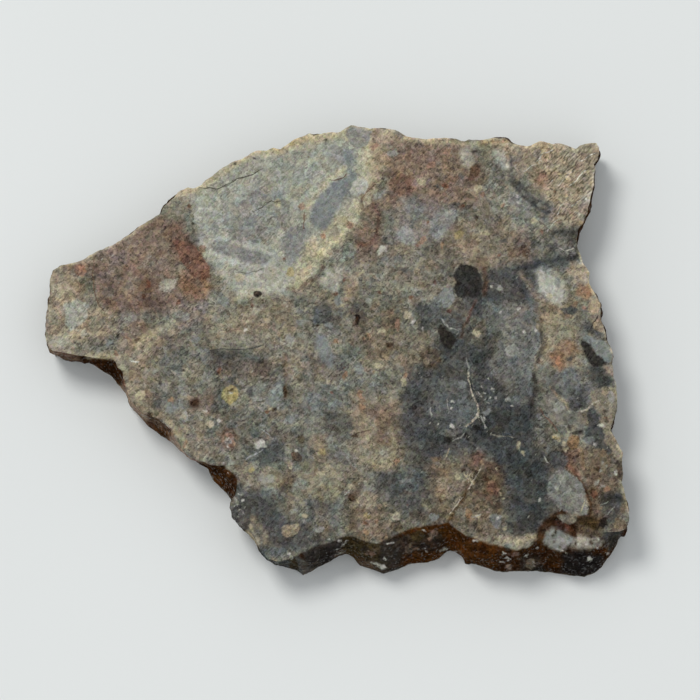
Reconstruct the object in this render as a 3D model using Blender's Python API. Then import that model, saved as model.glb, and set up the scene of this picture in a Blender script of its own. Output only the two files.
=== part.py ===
"""A thin sawn slice of lunar breccia, lying on its underside.

Both broad faces are saw cuts, flat and parallel. The wall between them is broken stone: nearly
upright round most of the outline, with a wide, rounded natural surface along the front edge.
Metres, +Z up, origin at the centre of the underside.
"""

import math

import bmesh
import bpy
from mathutils import Vector, geometry, noise

SLICE_WIDTH = 0.032  # the longest side, left tip to right edge
THICKNESS = 0.0028
VIEW_ELEVATION = math.radians(76)  # the photograph looks down on the sawn face from the front

# The outline is read from the photograph, which is 700 pixels square.
LEFT_PX, RIGHT_PX = 45.0, 627.5
ORIGIN_PX = (336.25, 356.8)
PIXEL = SLICE_WIDTH / (RIGHT_PX - LEFT_PX)

# The sawn face's rim where the wall under it is hidden: from the left tip, clockwise over the
# back edge and down the right side.
HIDDEN_RIM_PX = (
    (49, 348), (46, 341), (45, 330), (45.5, 318), (48, 302), (50.5, 291), (49.5, 279),
    (53, 269.5), (62, 265), (72, 263), (81, 260), (92, 254), (106, 247), (120, 240),
    (131, 233), (141, 225), (151, 218.5), (160, 213), (163, 206), (170, 200), (180, 190),
    (187, 186.5), (194, 188), (201, 184), (204, 179.5), (211, 175.5), (219, 169), (228, 163),
    (241, 158), (250, 152), (257, 149), (266, 149), (273, 146.5), (280, 148.5), (287, 143),
    (294, 138.5), (302, 135.5), (309.5, 132.5), (313.5, 135), (319, 133), (330, 131.5),
    (340, 130.5), (345, 126.5), (351, 124), (358, 125), (366, 126), (371, 127.5), (380, 126),
    (391, 127.5), (398, 129.5), (407, 135), (417, 136.5), (427, 138), (440, 137), (452, 137),
    (466, 140.5), (470, 138.5), (484, 138.5), (492, 136.5), (504, 137), (509, 139),
    (512, 142.5), (520, 144), (529, 145.5), (534, 143), (541, 140), (552, 142), (563, 143),
    (571, 146), (577, 148), (581, 144.5), (587, 142), (598, 142), (600.5, 146), (601, 152),
    (599, 158), (595, 163), (597, 168), (595, 173), (594.5, 184), (591, 200), (588, 211),
    (584, 221), (579, 229), (577, 238), (578.5, 248), (581.5, 256), (583, 262), (590, 273),
    (590, 284), (594, 292), (599.5, 301), (600.5, 310), (600, 319), (604, 326), (606, 340),
    (611, 348), (614, 357), (612, 364), (615, 381), (616.5, 392), (617, 404), (615, 415),
    (610, 425), (610, 431), (618, 444), (622, 453), (621, 461), (622, 475), (621, 482),
    (625, 497), (627.5, 511), (627, 523), (624, 528),
)

# Where the wall shows, the rim and the outermost point of the wall below it, from the right
# corner along the front edge and up the left side.
SEEN_WALL_PX = (
    ((619, 530), (620, 536)), ((610, 531), (616, 546)), ((600, 530), (609, 557)),
    ((590, 526), (602, 566)), ((581, 523), (594, 573)), ((574, 520), (584, 577)),
    ((568, 517), (573, 577)), ((562, 513.5), (562, 575)), ((556, 515), (552, 573)),
    ((549, 520), (544, 572)), ((543, 527), (536, 571)), ((539, 535), (528, 571)),
    ((534, 541), (520, 570.5)), ((526, 546), (512, 571)), ((516, 548), (504, 572)),
    ((506, 546), (496, 571.5)), ((497, 543), (488, 569.5)), ((487, 541), (480, 567)),
    ((476, 537), (472, 565)), ((466, 533), (465, 564)), ((459, 529), (461, 556)),
    ((453, 525), (455, 551)), ((448, 520), (449, 549.5)), ((441, 521.5), (443, 554)),
    ((431, 523), (435, 560)), ((421, 524), (424, 563)), ((411, 526), (412, 565)),
    ((402, 530), (401, 568)), ((393, 534), (392, 571)), ((384, 538), (384, 574)),
    ((376, 541), (377, 571)), ((368, 540), (369, 568)), ((360, 537.5), (360, 566)),
    ((353, 534.5), (353.5, 557)), ((346, 533.5), (346, 554)), ((338, 536), (339, 556)),
    ((330, 540), (331, 562)), ((321, 542.5), (321, 567)), ((312, 545), (312, 571.5)),
    ((303, 550), (303, 575)), ((296, 554), (296, 570)), ((287, 558.5), (288, 568)),
    ((278, 560), (280, 566)), ((268, 557), (272, 562)), ((263, 552), (268, 557)),
    ((259, 545), (264, 551)), ((257, 539), (262, 545)), ((249, 529), (254, 535)),
    ((241, 523.5), (246, 529)), ((233, 514), (239, 521)), ((230, 507), (236, 514)),
    ((232, 500), (233, 504)), ((235.5, 494), (229, 498)), ((238.5, 486), (224.5, 492)),
    ((238.5, 478), (219, 486)), ((235, 472), (212, 480)), ((228, 467), (210, 475.5)),
    ((226, 464), (207.5, 471)), ((218, 465), (204, 468)), ((210, 463.5), (199, 465)),
    ((203, 461), (193, 461)), ((195, 458.5), (189, 458.5)), ((189, 455.5), (184, 455)),
    ((184, 450), (177, 449.5)), ((180.5, 444), (171, 443.5)), ((177, 437), (165, 439)),
    ((172, 429), (159, 435)), ((166, 423), (152, 429.5)), ((160, 419), (146, 424)),
    ((152, 415.5), (141, 419.5)), ((144, 413), (136, 414.5)), ((137, 408), (132, 409)),
    ((131, 400), (128.5, 403)), ((127, 391), (125, 394)), ((124, 384), (121, 388)),
    ((123.5, 376), (117, 383.5)), ((122.5, 371), (113, 378.5)), ((118, 367.5), (109, 375)),
    ((116, 362), (104, 372.5)), ((113, 359), (99, 370)), ((104, 359), (93, 366)),
    ((92, 357.5), (86, 362.5)), ((80, 355.5), (78, 361.5)), ((68, 353.5), (67, 358.5)),
    ((59, 352), (59, 355.5)), ((53, 351), (55, 352.5)),
)

# Where the wall is hidden, its foot wanders in and out along it. It stands in under the rim on
# the right side, where anything further out would show past the sawn face.
SIDE_INSET = 0.0003
HIDDEN_SWAY = 0.0004
SWAY_LENGTH = 0.0032

STEP = 0.00033  # spacing of the stations round the outline
WALL_ROWS = 9
RIM_RAGGEDNESS = 0.00004
RAGGED_LENGTH = 0.0006

# A wall that reaches at least this far out is a rounded natural surface, not a fracture.
ROUNDED_REACH = 0.0007
ROUNDED_TILT = math.radians(55)

# The broken surface: lumps, knobs of clast, crumbs, and one ledge that runs along the wall at a
# changing height and turns from a shelf into an overhang and back.
LUMP_HEIGHT, LUMP_LENGTH = 0.00034, 0.0017
KNOB_HEIGHT, KNOB_LENGTH = 0.0003, 0.0011
CRUMB_HEIGHT, CRUMB_LENGTH = 0.0001, 0.0005
LEDGE_DEPTH, LEDGE_LENGTH = 0.0004, 0.0036
LEDGE_WANDER, WANDER_LENGTH = 0.35, 0.0022  # the wander is a share of the thickness
LEDGE_SHARPNESS = 0.00016
FOOT_ROUGHNESS = 0.25  # share of the roughness that the foot keeps
FADE_POWER = 0.6  # how soon the roughness grows to its full height below the rim
RIM_DROP = 0.0004  # keeps the first rows of the wall below the saw cut
SHARP_ANGLE = math.radians(40)

STONE_COLOUR = (0.21, 0.195, 0.175, 1.0)


def seen_at(pixel, height):
    """The plan position of a point at this height that the photograph shows at this pixel."""
    across = (pixel[0] - ORIGIN_PX[0]) * PIXEL
    upward = (ORIGIN_PX[1] - pixel[1]) * PIXEL
    along = (upward - height * math.cos(VIEW_ELEVATION)) / math.sin(VIEW_ELEVATION)
    return Vector((across, along))


def outward_normals(loop):
    """Unit normals of a clockwise loop, each averaged over the points on either side of it."""
    reach = 2
    count = len(loop)
    normals = []
    for i in range(count):
        run = loop[(i + reach) % count] - loop[(i - reach) % count]
        normals.append(Vector((-run.y, run.x)).normalized())
    return normals


def hidden_foot(rim, normal):
    """The foot of a wall that the sawn face hides."""
    sway = HIDDEN_SWAY * noise.noise(rim.to_3d() / SWAY_LENGTH)
    inset = SIDE_INSET * (1 - max(0.0, normal.y))
    return rim + normal * (sway - inset)


def corner_stations():
    """Rim and foot at each point of the outline, clockwise seen from above."""
    rims = [seen_at(pixel, THICKNESS) for pixel in HIDDEN_RIM_PX]
    rims += [seen_at(rim, THICKNESS) for rim, foot in SEEN_WALL_PX]
    normals = outward_normals(rims)
    feet = [hidden_foot(rim, normal) for rim, normal in zip(rims, normals)]
    feet = feet[:len(HIDDEN_RIM_PX)]
    feet += [seen_at(foot, 0) for rim, foot in SEEN_WALL_PX]
    return list(zip(rims, feet))


def ragged(point):
    """Moves a point of the rim a little, as the edge of broken stone is never straight."""
    shift = noise.noise_vector(point.to_3d() / RAGGED_LENGTH) * RIM_RAGGEDNESS
    return point + shift.to_2d()


def outline():
    """Rim and foot all the way round, clockwise seen from above, at about even spacing."""
    corners = corner_stations()
    stations = []
    for i, (rim, foot) in enumerate(corners):
        next_rim, next_foot = corners[(i + 1) % len(corners)]
        pieces = max(1, round((next_rim - rim).length / STEP))
        for k in range(pieces):
            share = k / pieces
            middle = ragged(rim.lerp(next_rim, share)) if k else rim
            stations.append((middle, foot.lerp(next_foot, share)))
    return stations


def ledge(point):
    """The step of the ledge at a point, out on one side of its line and in on the other."""
    plan = Vector((point.x, point.y, 0))
    line = THICKNESS * (0.5 + LEDGE_WANDER * noise.noise(plan / WANDER_LENGTH))
    return noise.noise(plan / LEDGE_LENGTH) * math.tanh((line - point.z) / LEDGE_SHARPNESS)


def roughness(point):
    """Height of the broken surface at a point."""
    lump = noise.noise(point / LUMP_LENGTH)
    knob = 0.5 - noise.voronoi(point / KNOB_LENGTH)[0][0]
    crumb = noise.noise(point / CRUMB_LENGTH)
    swell = LUMP_HEIGHT * lump + KNOB_HEIGHT * knob + CRUMB_HEIGHT * crumb
    return swell + LEDGE_DEPTH * ledge(point)


def wall_point(rim, foot, normal, depth_share):
    """A point of the wall, from the rim at share 0 to the foot at share 1."""
    reach = (foot - rim).dot(normal)
    rounded = min(1.0, max(0.0, reach / ROUNDED_REACH))
    turn = depth_share * math.pi / 2
    out_share = depth_share + rounded * (math.sin(turn) - depth_share)
    down_share = depth_share + rounded * ((1 - math.cos(turn)) - depth_share)
    plan = rim.lerp(foot, out_share)
    point = Vector((plan.x, plan.y, THICKNESS * (1 - down_share)))
    tilt = rounded * (1 - depth_share) * ROUNDED_TILT
    facing = Vector((normal.x, normal.y, 0)) * math.cos(tilt) + Vector((0, 0, math.sin(tilt)))
    middle = max(0.0, math.sin(math.pi * depth_share)) ** FADE_POWER
    fade = max(middle, FOOT_ROUGHNESS * depth_share)
    point += facing * fade * roughness(point)
    point.z = min(point.z, THICKNESS - RIM_DROP * depth_share)
    return point


def sawn_face(shape, ring):
    """Fills a flat ring of the outline with triangles."""
    loop = [vert.co.to_2d() for vert in ring]
    fill = geometry.delaunay_2d_cdt(loop, [], [range(len(loop))], 1, 0.0)
    triangles, sources = fill[2], fill[3]
    for corners in triangles:
        shape.faces.new([ring[sources[i][0]] for i in corners])


def slice_mesh():
    """The closed solid: two flat sawn faces and the rings of the wall between them."""
    stations = outline()
    normals = outward_normals([rim for rim, foot in stations])
    shape = bmesh.new()
    rings = []
    for row in range(WALL_ROWS + 1):
        share = row / WALL_ROWS
        ring = []
        for (rim, foot), normal in zip(stations, normals):
            point = wall_point(rim, foot, normal, share)
            if row == WALL_ROWS:
                point.z = 0.0
            ring.append(shape.verts.new(point))
        rings.append(ring)
    for upper, lower in zip(rings, rings[1:]):
        for i in range(len(upper)):
            k = (i + 1) % len(upper)
            shape.faces.new((upper[i], upper[k], lower[k], lower[i]))
    bmesh.ops.triangulate(shape, faces=shape.faces[:])
    for ring in (rings[0], rings[-1]):
        sawn_face(shape, ring)
    bmesh.ops.recalc_face_normals(shape, faces=shape.faces[:])
    mesh = bpy.data.meshes.new("meteorite_slice")
    shape.to_mesh(mesh)
    shape.free()
    mesh.shade_smooth()
    mesh.set_sharp_from_angle(angle=SHARP_ANGLE)
    return mesh


def stone_material():
    material = bpy.data.materials.new("breccia")
    material.use_nodes = True
    shader = material.node_tree.nodes["Principled BSDF"]
    shader.inputs["Base Color"].default_value = STONE_COLOUR
    shader.inputs["Roughness"].default_value = 0.6
    shader.inputs["Metallic"].default_value = 0.0
    return material


def main():
    for obj in list(bpy.data.objects):
        bpy.data.objects.remove(obj)
    stone = bpy.data.objects.new("meteorite_slice", slice_mesh())
    stone.data.materials.append(stone_material())
    bpy.context.scene.collection.objects.link(stone)


main()
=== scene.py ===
"""Looks of a sawn slice of lunar breccia: its broken edge, its clasts and veins, and the studio.

Places on the stone are read from the photograph, which is taken as 700 pixels square. A pixel there
and a height give one point of the stone, because the photograph's view of it is known. Outlines and
lines are written in its pixels, as x and y in turn.
"""

import math

import bmesh
import bpy
import numpy as np
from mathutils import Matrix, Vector, geometry
from mathutils.kdtree import KDTree


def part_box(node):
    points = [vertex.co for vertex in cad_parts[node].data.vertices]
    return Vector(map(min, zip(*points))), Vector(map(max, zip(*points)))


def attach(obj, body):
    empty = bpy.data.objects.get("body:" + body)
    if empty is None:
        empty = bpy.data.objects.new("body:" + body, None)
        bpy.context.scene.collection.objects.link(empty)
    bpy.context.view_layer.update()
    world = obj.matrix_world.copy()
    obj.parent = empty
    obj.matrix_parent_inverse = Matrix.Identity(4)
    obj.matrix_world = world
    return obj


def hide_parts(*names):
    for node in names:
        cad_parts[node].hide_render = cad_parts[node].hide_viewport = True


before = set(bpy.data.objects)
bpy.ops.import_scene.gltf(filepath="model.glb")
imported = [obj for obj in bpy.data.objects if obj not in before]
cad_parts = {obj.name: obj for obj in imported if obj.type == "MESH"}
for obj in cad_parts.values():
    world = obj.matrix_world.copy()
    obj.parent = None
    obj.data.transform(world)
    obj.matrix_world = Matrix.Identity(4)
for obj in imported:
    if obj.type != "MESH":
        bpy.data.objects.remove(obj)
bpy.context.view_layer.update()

NODE = "meteorite_slice"
LOW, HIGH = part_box(NODE)
THICKNESS = HIGH.z

# The photograph's view: pixels across it, the pixel over the frame's origin, the slice's own
# width in metres and in pixels, and how far the view stands above the horizon.
PHOTO_SIZE = 700
ORIGIN_PX = (336.25, 356.8)
SLICE_WIDTH, SLICE_PX = 0.032, 582.5
PIXEL = SLICE_WIDTH / SLICE_PX
ELEVATION = math.radians(76)
VIEW = np.array((0, -math.cos(ELEVATION), math.sin(ELEVATION)))
CAMERA_DISTANCE, NEAREST_SHOWN = 0.5, 0.01
SENSOR_MM = 36

FLAT = 1e-6  # how far a point of a sawn face may lie off its plane
MERGE = 1e-7
TINY = 1e-6  # keeps a division away from zero
TRIANGLES_INSIDE = 1  # what the triangulation gives back: the triangles inside the ring

# Seeds of the random draws. Where a use needs more than one, the next numbers follow.
WALL_SEED, NIBBLE_SEED, CHIP_SEED, CRACK_SEED, GRID_SEED, UNEVEN_SEED = 11, 21, 25, 31, 41, 42
STRAY_SEED, HIDDEN_WALL_SEED, UNDERSIDE_STRAY_SEED = 51, 61, 71
FACE_SPOT_SEED, WALL_SPOT_SEED, UNDERSIDE_SEED, BURIED_SEED = 81, 82, 83, 84
MOTTLE_BEND_SEED, MOTTLE_SEED, RIM_SEED, SAW_SEED = 90, 94, 97, 98
LATTICE = 64  # random values along each side of the block from which noise is read

WALL_CUTS = 2  # new points on each edge of the solid's wall
WALL_SMOOTHING, SMOOTHING_FACTOR = 4, 0.5
# Spacing of the sawn faces' points, and as shares of it how far they stray and how far they keep
# from the outline. From a crack they keep the spacing divided by the last number.
TOP_SPACING, UNDERSIDE_SPACING = 0.000105, 0.00024
GRID_STRAY, OUTLINE_CLEARANCE, CRACK_CLEARANCE_PART = 0.22, 0.6, 3
SHARP_ANGLE = math.radians(50)

# The broken wall's grain: height and length of each size of it, and where it fades out.
WALL_GRAIN = ((0.00006, 0.00042), (0.00004, 0.00022), (0.00002, 0.00012))
RIM_FADE, FOOT_FADE = 0.0003, 0.0002
RIM_NIBBLES = ((0.00003, 0.0003), (0.00002, 0.00014))
CHIP_DEPTH, CHIP_LENGTH, CHIP_RANGE = 0.00009, 0.0005, (0.1, 0.7)

# The sawn face keeps a faint unevenness.
FACE_UNEVENNESS, UNEVEN_LENGTH = 0.000008, 0.0004
# Its cracks go down into the stone. Their taper is told in steps from their ends.
CRACK_DEPTH, CRACK_WIDTH, CRACK_STEP = 0.00005, 0.00006, 0.00008
CRACK_SWAY, CRACK_SWAY_LENGTH = 0.5, 0.00016
CRACK_TAPER, CRACK_TIP, CRACK_SLOPE = 6, 1.5, 5

# How far, in pixels, the edges of patches and clasts stray from their outlines, by size of bend.
STRAYS = ((1.7, 9.0), (1.0, 4.0), (0.5, 2.0))
UNDERSIDE_STRAY = (26.0, 110.0)
REACH = 4.0  # pixels round a clast or a vein within which its distance is known
VEIN_FADE, VEIN_END = 1.5, 2  # pixels over which a vein's strength ends beside it and past its end

# Kinds of stone, as red, green and blue from 0 to 255 and how strong their grain is.
KINDS = {
    "white": (206, 205, 194, 0.5),
    # The pale of the painted highlight on the rim's chips, where they face back towards the lamp.
    "chip": (214, 200, 172, 0.6),
    "milk": (176, 176, 164, 0.5),
    "cream": (175, 167, 139, 0.7),
    "bone": (165, 158, 142, 0.6),
    "pale_green": (157, 158, 145, 0.65),
    "buff": (157, 142, 121, 0.8),
    "ash": (150, 151, 143, 0.5),
    "mist": (147, 151, 149, 0.6),
    "sand": (144, 134, 116, 0.9),
    "pewter": (138, 138, 131, 0.6),
    "ochre": (140, 113, 90, 0.9),
    "salmon": (147, 118, 99, 0.9),
    "pink": (146, 128, 113, 0.9),
    "tan": (134, 121, 103, 0.9),
    "lavender": (134, 129, 124, 0.7),
    "putty": (133, 129, 111, 0.8),
    "shell": (130, 122, 106, 0.8),
    "grey": (130, 131, 125, 0.75),
    "steel": (126, 130, 127, 0.5),
    "clay": (123, 108, 95, 0.95),
    "sienna": (123, 99, 82, 1.0),
    "zinc": (121, 121, 115, 0.8),
    "dove": (119, 117, 107, 0.7),
    "olive": (119, 116, 104, 1.0),
    "fawn": (113, 101, 84, 1.0),
    "honey": (116, 96, 72, 1.0),
    "russet": (113, 86, 73, 1.0),
    "mauve": (110, 98, 91, 1.0),
    "lead": (108, 109, 105, 0.85),
    "drab": (106, 105, 96, 1.1),
    "taupe": (104, 95, 81, 1.1),
    "brown": (101, 82, 70, 1.1),
    "cocoa": (99, 87, 73, 1.1),
    "iron": (98, 99, 94, 0.95),
    "khaki": (95, 92, 82, 1.1),
    "soot": (91, 93, 90, 0.95),
    "peat": (88, 79, 66, 1.2),
    "bistre": (84, 70, 60, 1.2),
    "rust": (106, 70, 55, 1.1),
    "slate": (77, 78, 76, 0.95),
    "maroon": (84, 55, 49, 1.2),
    "ink": (60, 62, 61, 0.95),
    "charcoal": (50, 46, 42, 1.0),
    "jet": (47, 46, 44, 1.0),
    "black": (34, 30, 28, 1.0),
    "orange": (158, 119, 90, 1.2),
    "yellow": (160, 147, 104, 0.8),
    "moss": (56, 46, 29, 1.2),
    "umber": (50, 31, 16, 1.3),
    "amber": (66, 39, 14, 1.2),
}

# The sawn face, from its broad regions to its smaller stains: kind, cover, softness and outline.
FACE_PATCHES = (
    ("sand", 0.9, 7, (40, 262, 94, 258, 98, 302, 120, 330, 100, 345, 60, 365, 40, 360)),
    ("clay", 1, 5, (96, 250, 150, 214, 180, 216, 196, 245, 178, 262, 172, 282, 184, 300, 165, 312,
        112, 310, 98, 300, 92, 275)),
    ("tan", 0.8, 7, (112, 342, 168, 322, 172, 338, 150, 365, 152, 400, 150, 428, 116, 385, 108, 355)),
    ("drab", 0.7, 9, (200, 345, 262, 352, 300, 385, 350, 380, 345, 470, 300, 490, 240, 465, 215, 440,
        205, 400)),
    ("pale_green", 1, 4, (176, 184, 205, 176, 232, 156, 255, 144, 275, 141, 295, 133, 315, 127, 345, 124,
        356, 140, 366, 150, 374, 170, 372, 192, 362, 212, 354, 226, 340, 238, 328, 252, 316, 264,
        308, 284, 292, 294, 262, 295, 240, 300, 228, 284, 214, 268, 204, 256, 198, 240, 196, 225,
        192, 205, 180, 195)),
    ("putty", 0.8, 4, (163, 215, 168, 204, 178, 198, 188, 200, 186, 213, 175, 221)),
    ("grey", 0.75, 7, (228, 208, 240, 196, 255, 186, 272, 184, 288, 198, 292, 215, 282, 232, 265, 243,
        245, 243, 232, 235, 225, 222)),
    ("cream", 0.75, 6, (290, 268, 312, 240, 338, 218, 356, 190, 358, 150, 374, 150, 380, 175, 374, 200,
        358, 224, 332, 252, 314, 276, 300, 292, 288, 290)),
    ("milk", 0.5, 5, (232, 272, 262, 270, 290, 268, 296, 280, 286, 294, 242, 296)),
    ("pewter", 0.9, 3, (326, 152, 338, 146, 350, 147, 356, 155, 352, 163, 340, 165, 328, 162)),
    ("milk", 0.8, 3, (202, 242, 212, 234, 222, 233, 236, 240, 250, 244, 268, 247, 278, 254, 276, 262,
        266, 269, 242, 269, 224, 262, 208, 253)),
    ("pewter", 1, 1.8, (208, 244, 214, 239, 224, 240, 236, 246, 250, 250, 264, 252, 271, 256, 269, 260,
        261, 264, 244, 263, 228, 256, 214, 250)),
    ("steel", 1, 2, (333, 181, 345, 178, 352, 170, 358, 172, 355, 183, 350, 197, 342, 207, 333, 222,
        325, 230, 315, 228, 309, 218, 312, 205, 322, 192)),
    ("pewter", 1, 2.2, (290, 225, 305, 225, 312, 232, 305, 245, 295, 262, 284, 258, 283, 240)),
    ("buff", 0.8, 5, (362, 126, 400, 128, 405, 146, 392, 168, 374, 185, 366, 160)),
    ("clay", 0.95, 8, (392, 140, 470, 138, 482, 165, 478, 200, 450, 210, 385, 205, 388, 170)),
    ("lavender", 0.6, 8, (400, 205, 430, 196, 452, 205, 450, 232, 425, 242, 400, 244, 392, 225)),
    ("tan", 0.7, 10, (440, 225, 500, 215, 522, 230, 520, 262, 480, 268, 440, 260)),
    ("sand", 1, 7, (482, 134, 604, 138, 598, 210, 584, 228, 548, 226, 556, 208, 532, 190, 514, 165,
        490, 150)),
    ("zinc", 0.75, 6, (511, 160, 516, 180, 530, 188, 545, 200, 555, 206, 548, 222, 534, 214, 514, 214,
        510, 195, 506, 178)),
    ("slate", 1, 11, (408, 370, 432, 360, 444, 330, 454, 300, 480, 275, 508, 266, 582, 248, 580, 262,
        538, 272, 534, 304, 500, 308, 495, 345, 540, 392, 536, 430, 550, 470, 548, 500, 560, 512,
        536, 538, 500, 530, 505, 495, 480, 450, 440, 462, 412, 464, 402, 440, 396, 415, 402, 392)),
    ("iron", 0.75, 6, (550, 228, 566, 226, 584, 226, 577, 240, 584, 256, 566, 257, 546, 259, 543, 250,
        553, 240)),
    ("slate", 0.75, 8, (370, 468, 440, 466, 432, 500, 418, 524, 392, 505, 372, 490)),
    ("slate", 0.95, 8, (236, 486, 268, 488, 302, 520, 334, 540, 300, 552, 258, 556, 228, 508)),
    ("tan", 0.6, 8, (350, 395, 392, 388, 402, 410, 398, 470, 372, 470, 350, 450)),
    ("lead", 0.9, 7, (484, 302, 536, 300, 544, 318, 520, 324, 496, 334, 484, 330)),
    ("tan", 0.85, 8, (540, 306, 578, 304, 580, 360, 560, 375, 540, 362)),
    ("lead", 0.9, 7, (540, 366, 596, 372, 592, 405, 570, 412, 548, 398)),
    ("drab", 0.8, 6, (534, 384, 552, 386, 566, 402, 560, 432, 540, 424, 534, 400)),
    ("khaki", 0.9, 8, (532, 420, 560, 428, 562, 448, 545, 470, 530, 450)),
    ("cocoa", 0.9, 8, (556, 448, 620, 448, 624, 500, 590, 504, 580, 480, 560, 468)),
    ("bistre", 0.7, 7, (570, 506, 604, 504, 622, 520, 616, 530, 578, 522)),
    ("taupe", 0.95, 9, (432, 462, 475, 458, 500, 480, 508, 500, 500, 535, 460, 532, 440, 515, 430, 490)),
    ("peat", 0.9, 4, (466, 466, 490, 458, 502, 466, 504, 496, 488, 500, 472, 484)),
    ("brown", 0.9, 2.5, (470, 454, 478, 450, 485, 455, 483, 465, 473, 466)),
    ("bistre", 0.6, 3, (484, 461, 496, 458, 503, 466, 498, 475, 486, 474)),
    ("russet", 0.7, 2.5, (484, 483, 494, 480, 500, 488, 498, 496, 488, 494)),
    ("tan", 0.9, 3, (436, 477, 446, 469, 458, 470, 466, 478, 464, 489, 456, 498, 445, 500, 437, 491)),
    ("sand", 0.85, 2, (456, 471, 463, 471, 465, 480, 458, 483)),
    ("cocoa", 0.9, 8, (345, 508, 384, 506, 388, 540, 360, 542, 348, 530)),
    ("putty", 0.8, 7, (300, 460, 340, 462, 345, 495, 320, 490, 300, 478)),
    ("sand", 0.4, 9, (205, 305, 300, 300, 302, 350, 212, 350)),
    ("steel", 0.3, 9, (302, 380, 346, 380, 346, 458, 302, 450)),
    # Smaller stains and clouds.
    ("brown", 0.75, 4, (160, 226, 180, 226, 198, 250, 208, 275, 196, 268, 180, 262, 170, 250)),
    ("sienna", 0.9, 5, (180, 270, 204, 270, 212, 286, 206, 302, 184, 302, 176, 286)),
    ("taupe", 0.8, 3, (84, 268, 92, 262, 97, 275, 93, 290, 84, 290, 78, 282)),
    ("brown", 0.8, 5, (140, 280, 152, 280, 152, 302, 140, 302)),
    ("brown", 0.5, 6, (100, 300, 150, 298, 175, 300, 160, 312, 112, 312)),
    ("drab", 0.8, 5, (74, 340, 120, 338, 118, 352, 76, 352)),
    ("mauve", 0.6, 5, (176, 296, 206, 296, 206, 330, 178, 330)),
    ("sand", 0.7, 5, (240, 315, 262, 312, 268, 330, 255, 345, 241, 340)),
    ("slate", 0.7, 2, (207, 356, 212, 351, 226, 350, 243, 350, 236, 357, 220, 363)),
    ("soot", 0.6, 5, (236, 354, 262, 354, 262, 372, 240, 372)),
    ("brown", 0.35, 6, (212, 360, 248, 358, 275, 366, 280, 378, 240, 376, 214, 376)),
    ("milk", 0.7, 4, (325, 268, 342, 265, 343, 278, 335, 292, 325, 290, 320, 280)),
    ("steel", 1, 3, (315, 333, 325, 335, 332, 350, 334, 372, 320, 362, 313, 345)),
    ("slate", 0.4, 5, (308, 302, 322, 298, 340, 302, 345, 318, 336, 332, 312, 322)),
    ("ash", 0.65, 3, (358, 488, 366, 484, 374, 488, 375, 498, 368, 504, 360, 500)),
    ("ash", 0.65, 4, (262, 470, 274, 468, 280, 478, 276, 490, 266, 488, 260, 478)),
    ("iron", 0.6, 5, (334, 356, 350, 356, 348, 374, 336, 374)),
    ("sand", 0.8, 5, (286, 354, 302, 354, 302, 380, 288, 380)),
    ("grey", 0.6, 5, (252, 384, 278, 384, 280, 410, 256, 412)),
    ("iron", 0.6, 5, (322, 412, 348, 412, 350, 440, 326, 438)),
    ("slate", 0.75, 5, (258, 444, 284, 442, 288, 456, 262, 464)),
    ("tan", 0.7, 5, (308, 434, 326, 434, 328, 460, 310, 458)),
    ("brown", 0.2, 5, (144, 392, 162, 392, 164, 412, 146, 412)),
    ("steel", 0.5, 5, (163, 399, 182, 400, 180, 414, 165, 414)),
    ("brown", 0.4, 5, (188, 394, 216, 396, 214, 416, 190, 414)),
    ("pink", 0.4, 5, (218, 430, 240, 430, 240, 450, 220, 450)),
    ("russet", 0.35, 5, (362, 212, 372, 198, 383, 203, 381, 250, 360, 252, 355, 236)),
    ("sienna", 0.35, 6, (354, 228, 380, 232, 378, 262, 356, 262)),
    ("brown", 0.7, 5, (386, 182, 396, 172, 412, 174, 414, 192, 396, 196)),
    ("brown", 0.5, 5, (436, 178, 450, 178, 450, 192, 438, 192)),
    ("salmon", 0.35, 5, (536, 168, 556, 168, 556, 186, 538, 186)),
    ("brown", 0.4, 5, (514, 236, 534, 240, 534, 262, 514, 262)),
    ("buff", 1, 4, (344, 272, 358, 274, 360, 298, 346, 300)),
    ("taupe", 0.6, 6, (350, 300, 402, 300, 400, 345, 384, 360, 350, 345)),
    ("slate", 0.8, 5, (414, 304, 442, 302, 444, 328, 420, 330)),
    ("drab", 0.7, 5, (434, 286, 458, 286, 456, 310, 436, 306)),
    ("brown", 0.2, 5, (432, 240, 450, 240, 448, 256, 434, 256)),
    ("khaki", 0.85, 5, (462, 312, 486, 318, 484, 345, 466, 345)),
    ("peat", 0.9, 3, (418, 352, 428, 347, 441, 350, 444, 361, 436, 368, 424, 367)),
    ("charcoal", 0.5, 4, (440, 342, 454, 342, 452, 352, 444, 352)),
    ("ink", 0.8, 4, (474, 352, 490, 354, 488, 376, 476, 374)),
    ("steel", 0.5, 5, (498, 348, 512, 340, 534, 344, 530, 366, 508, 366)),
    ("ink", 0.8, 6, (480, 416, 534, 404, 534, 440, 500, 442, 470, 436, 444, 446, 440, 436, 470, 422)),
    ("ink", 0.7, 8, (502, 450, 544, 446, 546, 520, 520, 534, 504, 500)),
    ("charcoal", 0.7, 4, (552, 452, 562, 452, 566, 468, 548, 472, 548, 462)),
    ("brown", 0.7, 4, (562, 448, 580, 450, 578, 478, 564, 470)),
    ("drab", 0.7, 5, (534, 428, 560, 432, 562, 442, 540, 444)),
    ("slate", 0.9, 4, (600, 496, 608, 493, 624, 494, 622, 510, 616, 520, 606, 524, 600, 512)),
    ("jet", 0.7, 3, (603, 495, 610, 493, 623, 495, 620, 502, 608, 504, 602, 501)),
    ("moss", 0.85, 4, (575, 516, 590, 514, 600, 520, 602, 530, 588, 532, 577, 526)),
    ("slate", 0.8, 3, (574, 388, 586, 385, 588, 398, 584, 410, 574, 409, 571, 398)),
    ("slate", 0.95, 3, (584, 326, 600, 325, 607, 338, 592, 336)),
    ("ink", 0.8, 3, (588, 366, 602, 364, 612, 380, 611, 386, 598, 388, 589, 380)),
    ("lavender", 0.3, 2, (603, 366, 609, 365, 611, 373, 605, 374)),
    ("honey", 0.8, 2.5, (577, 453, 586, 449, 588, 458, 584, 471, 576, 466)),
    ("putty", 0.6, 6, (372, 445, 394, 445, 394, 470, 374, 468)),
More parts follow.
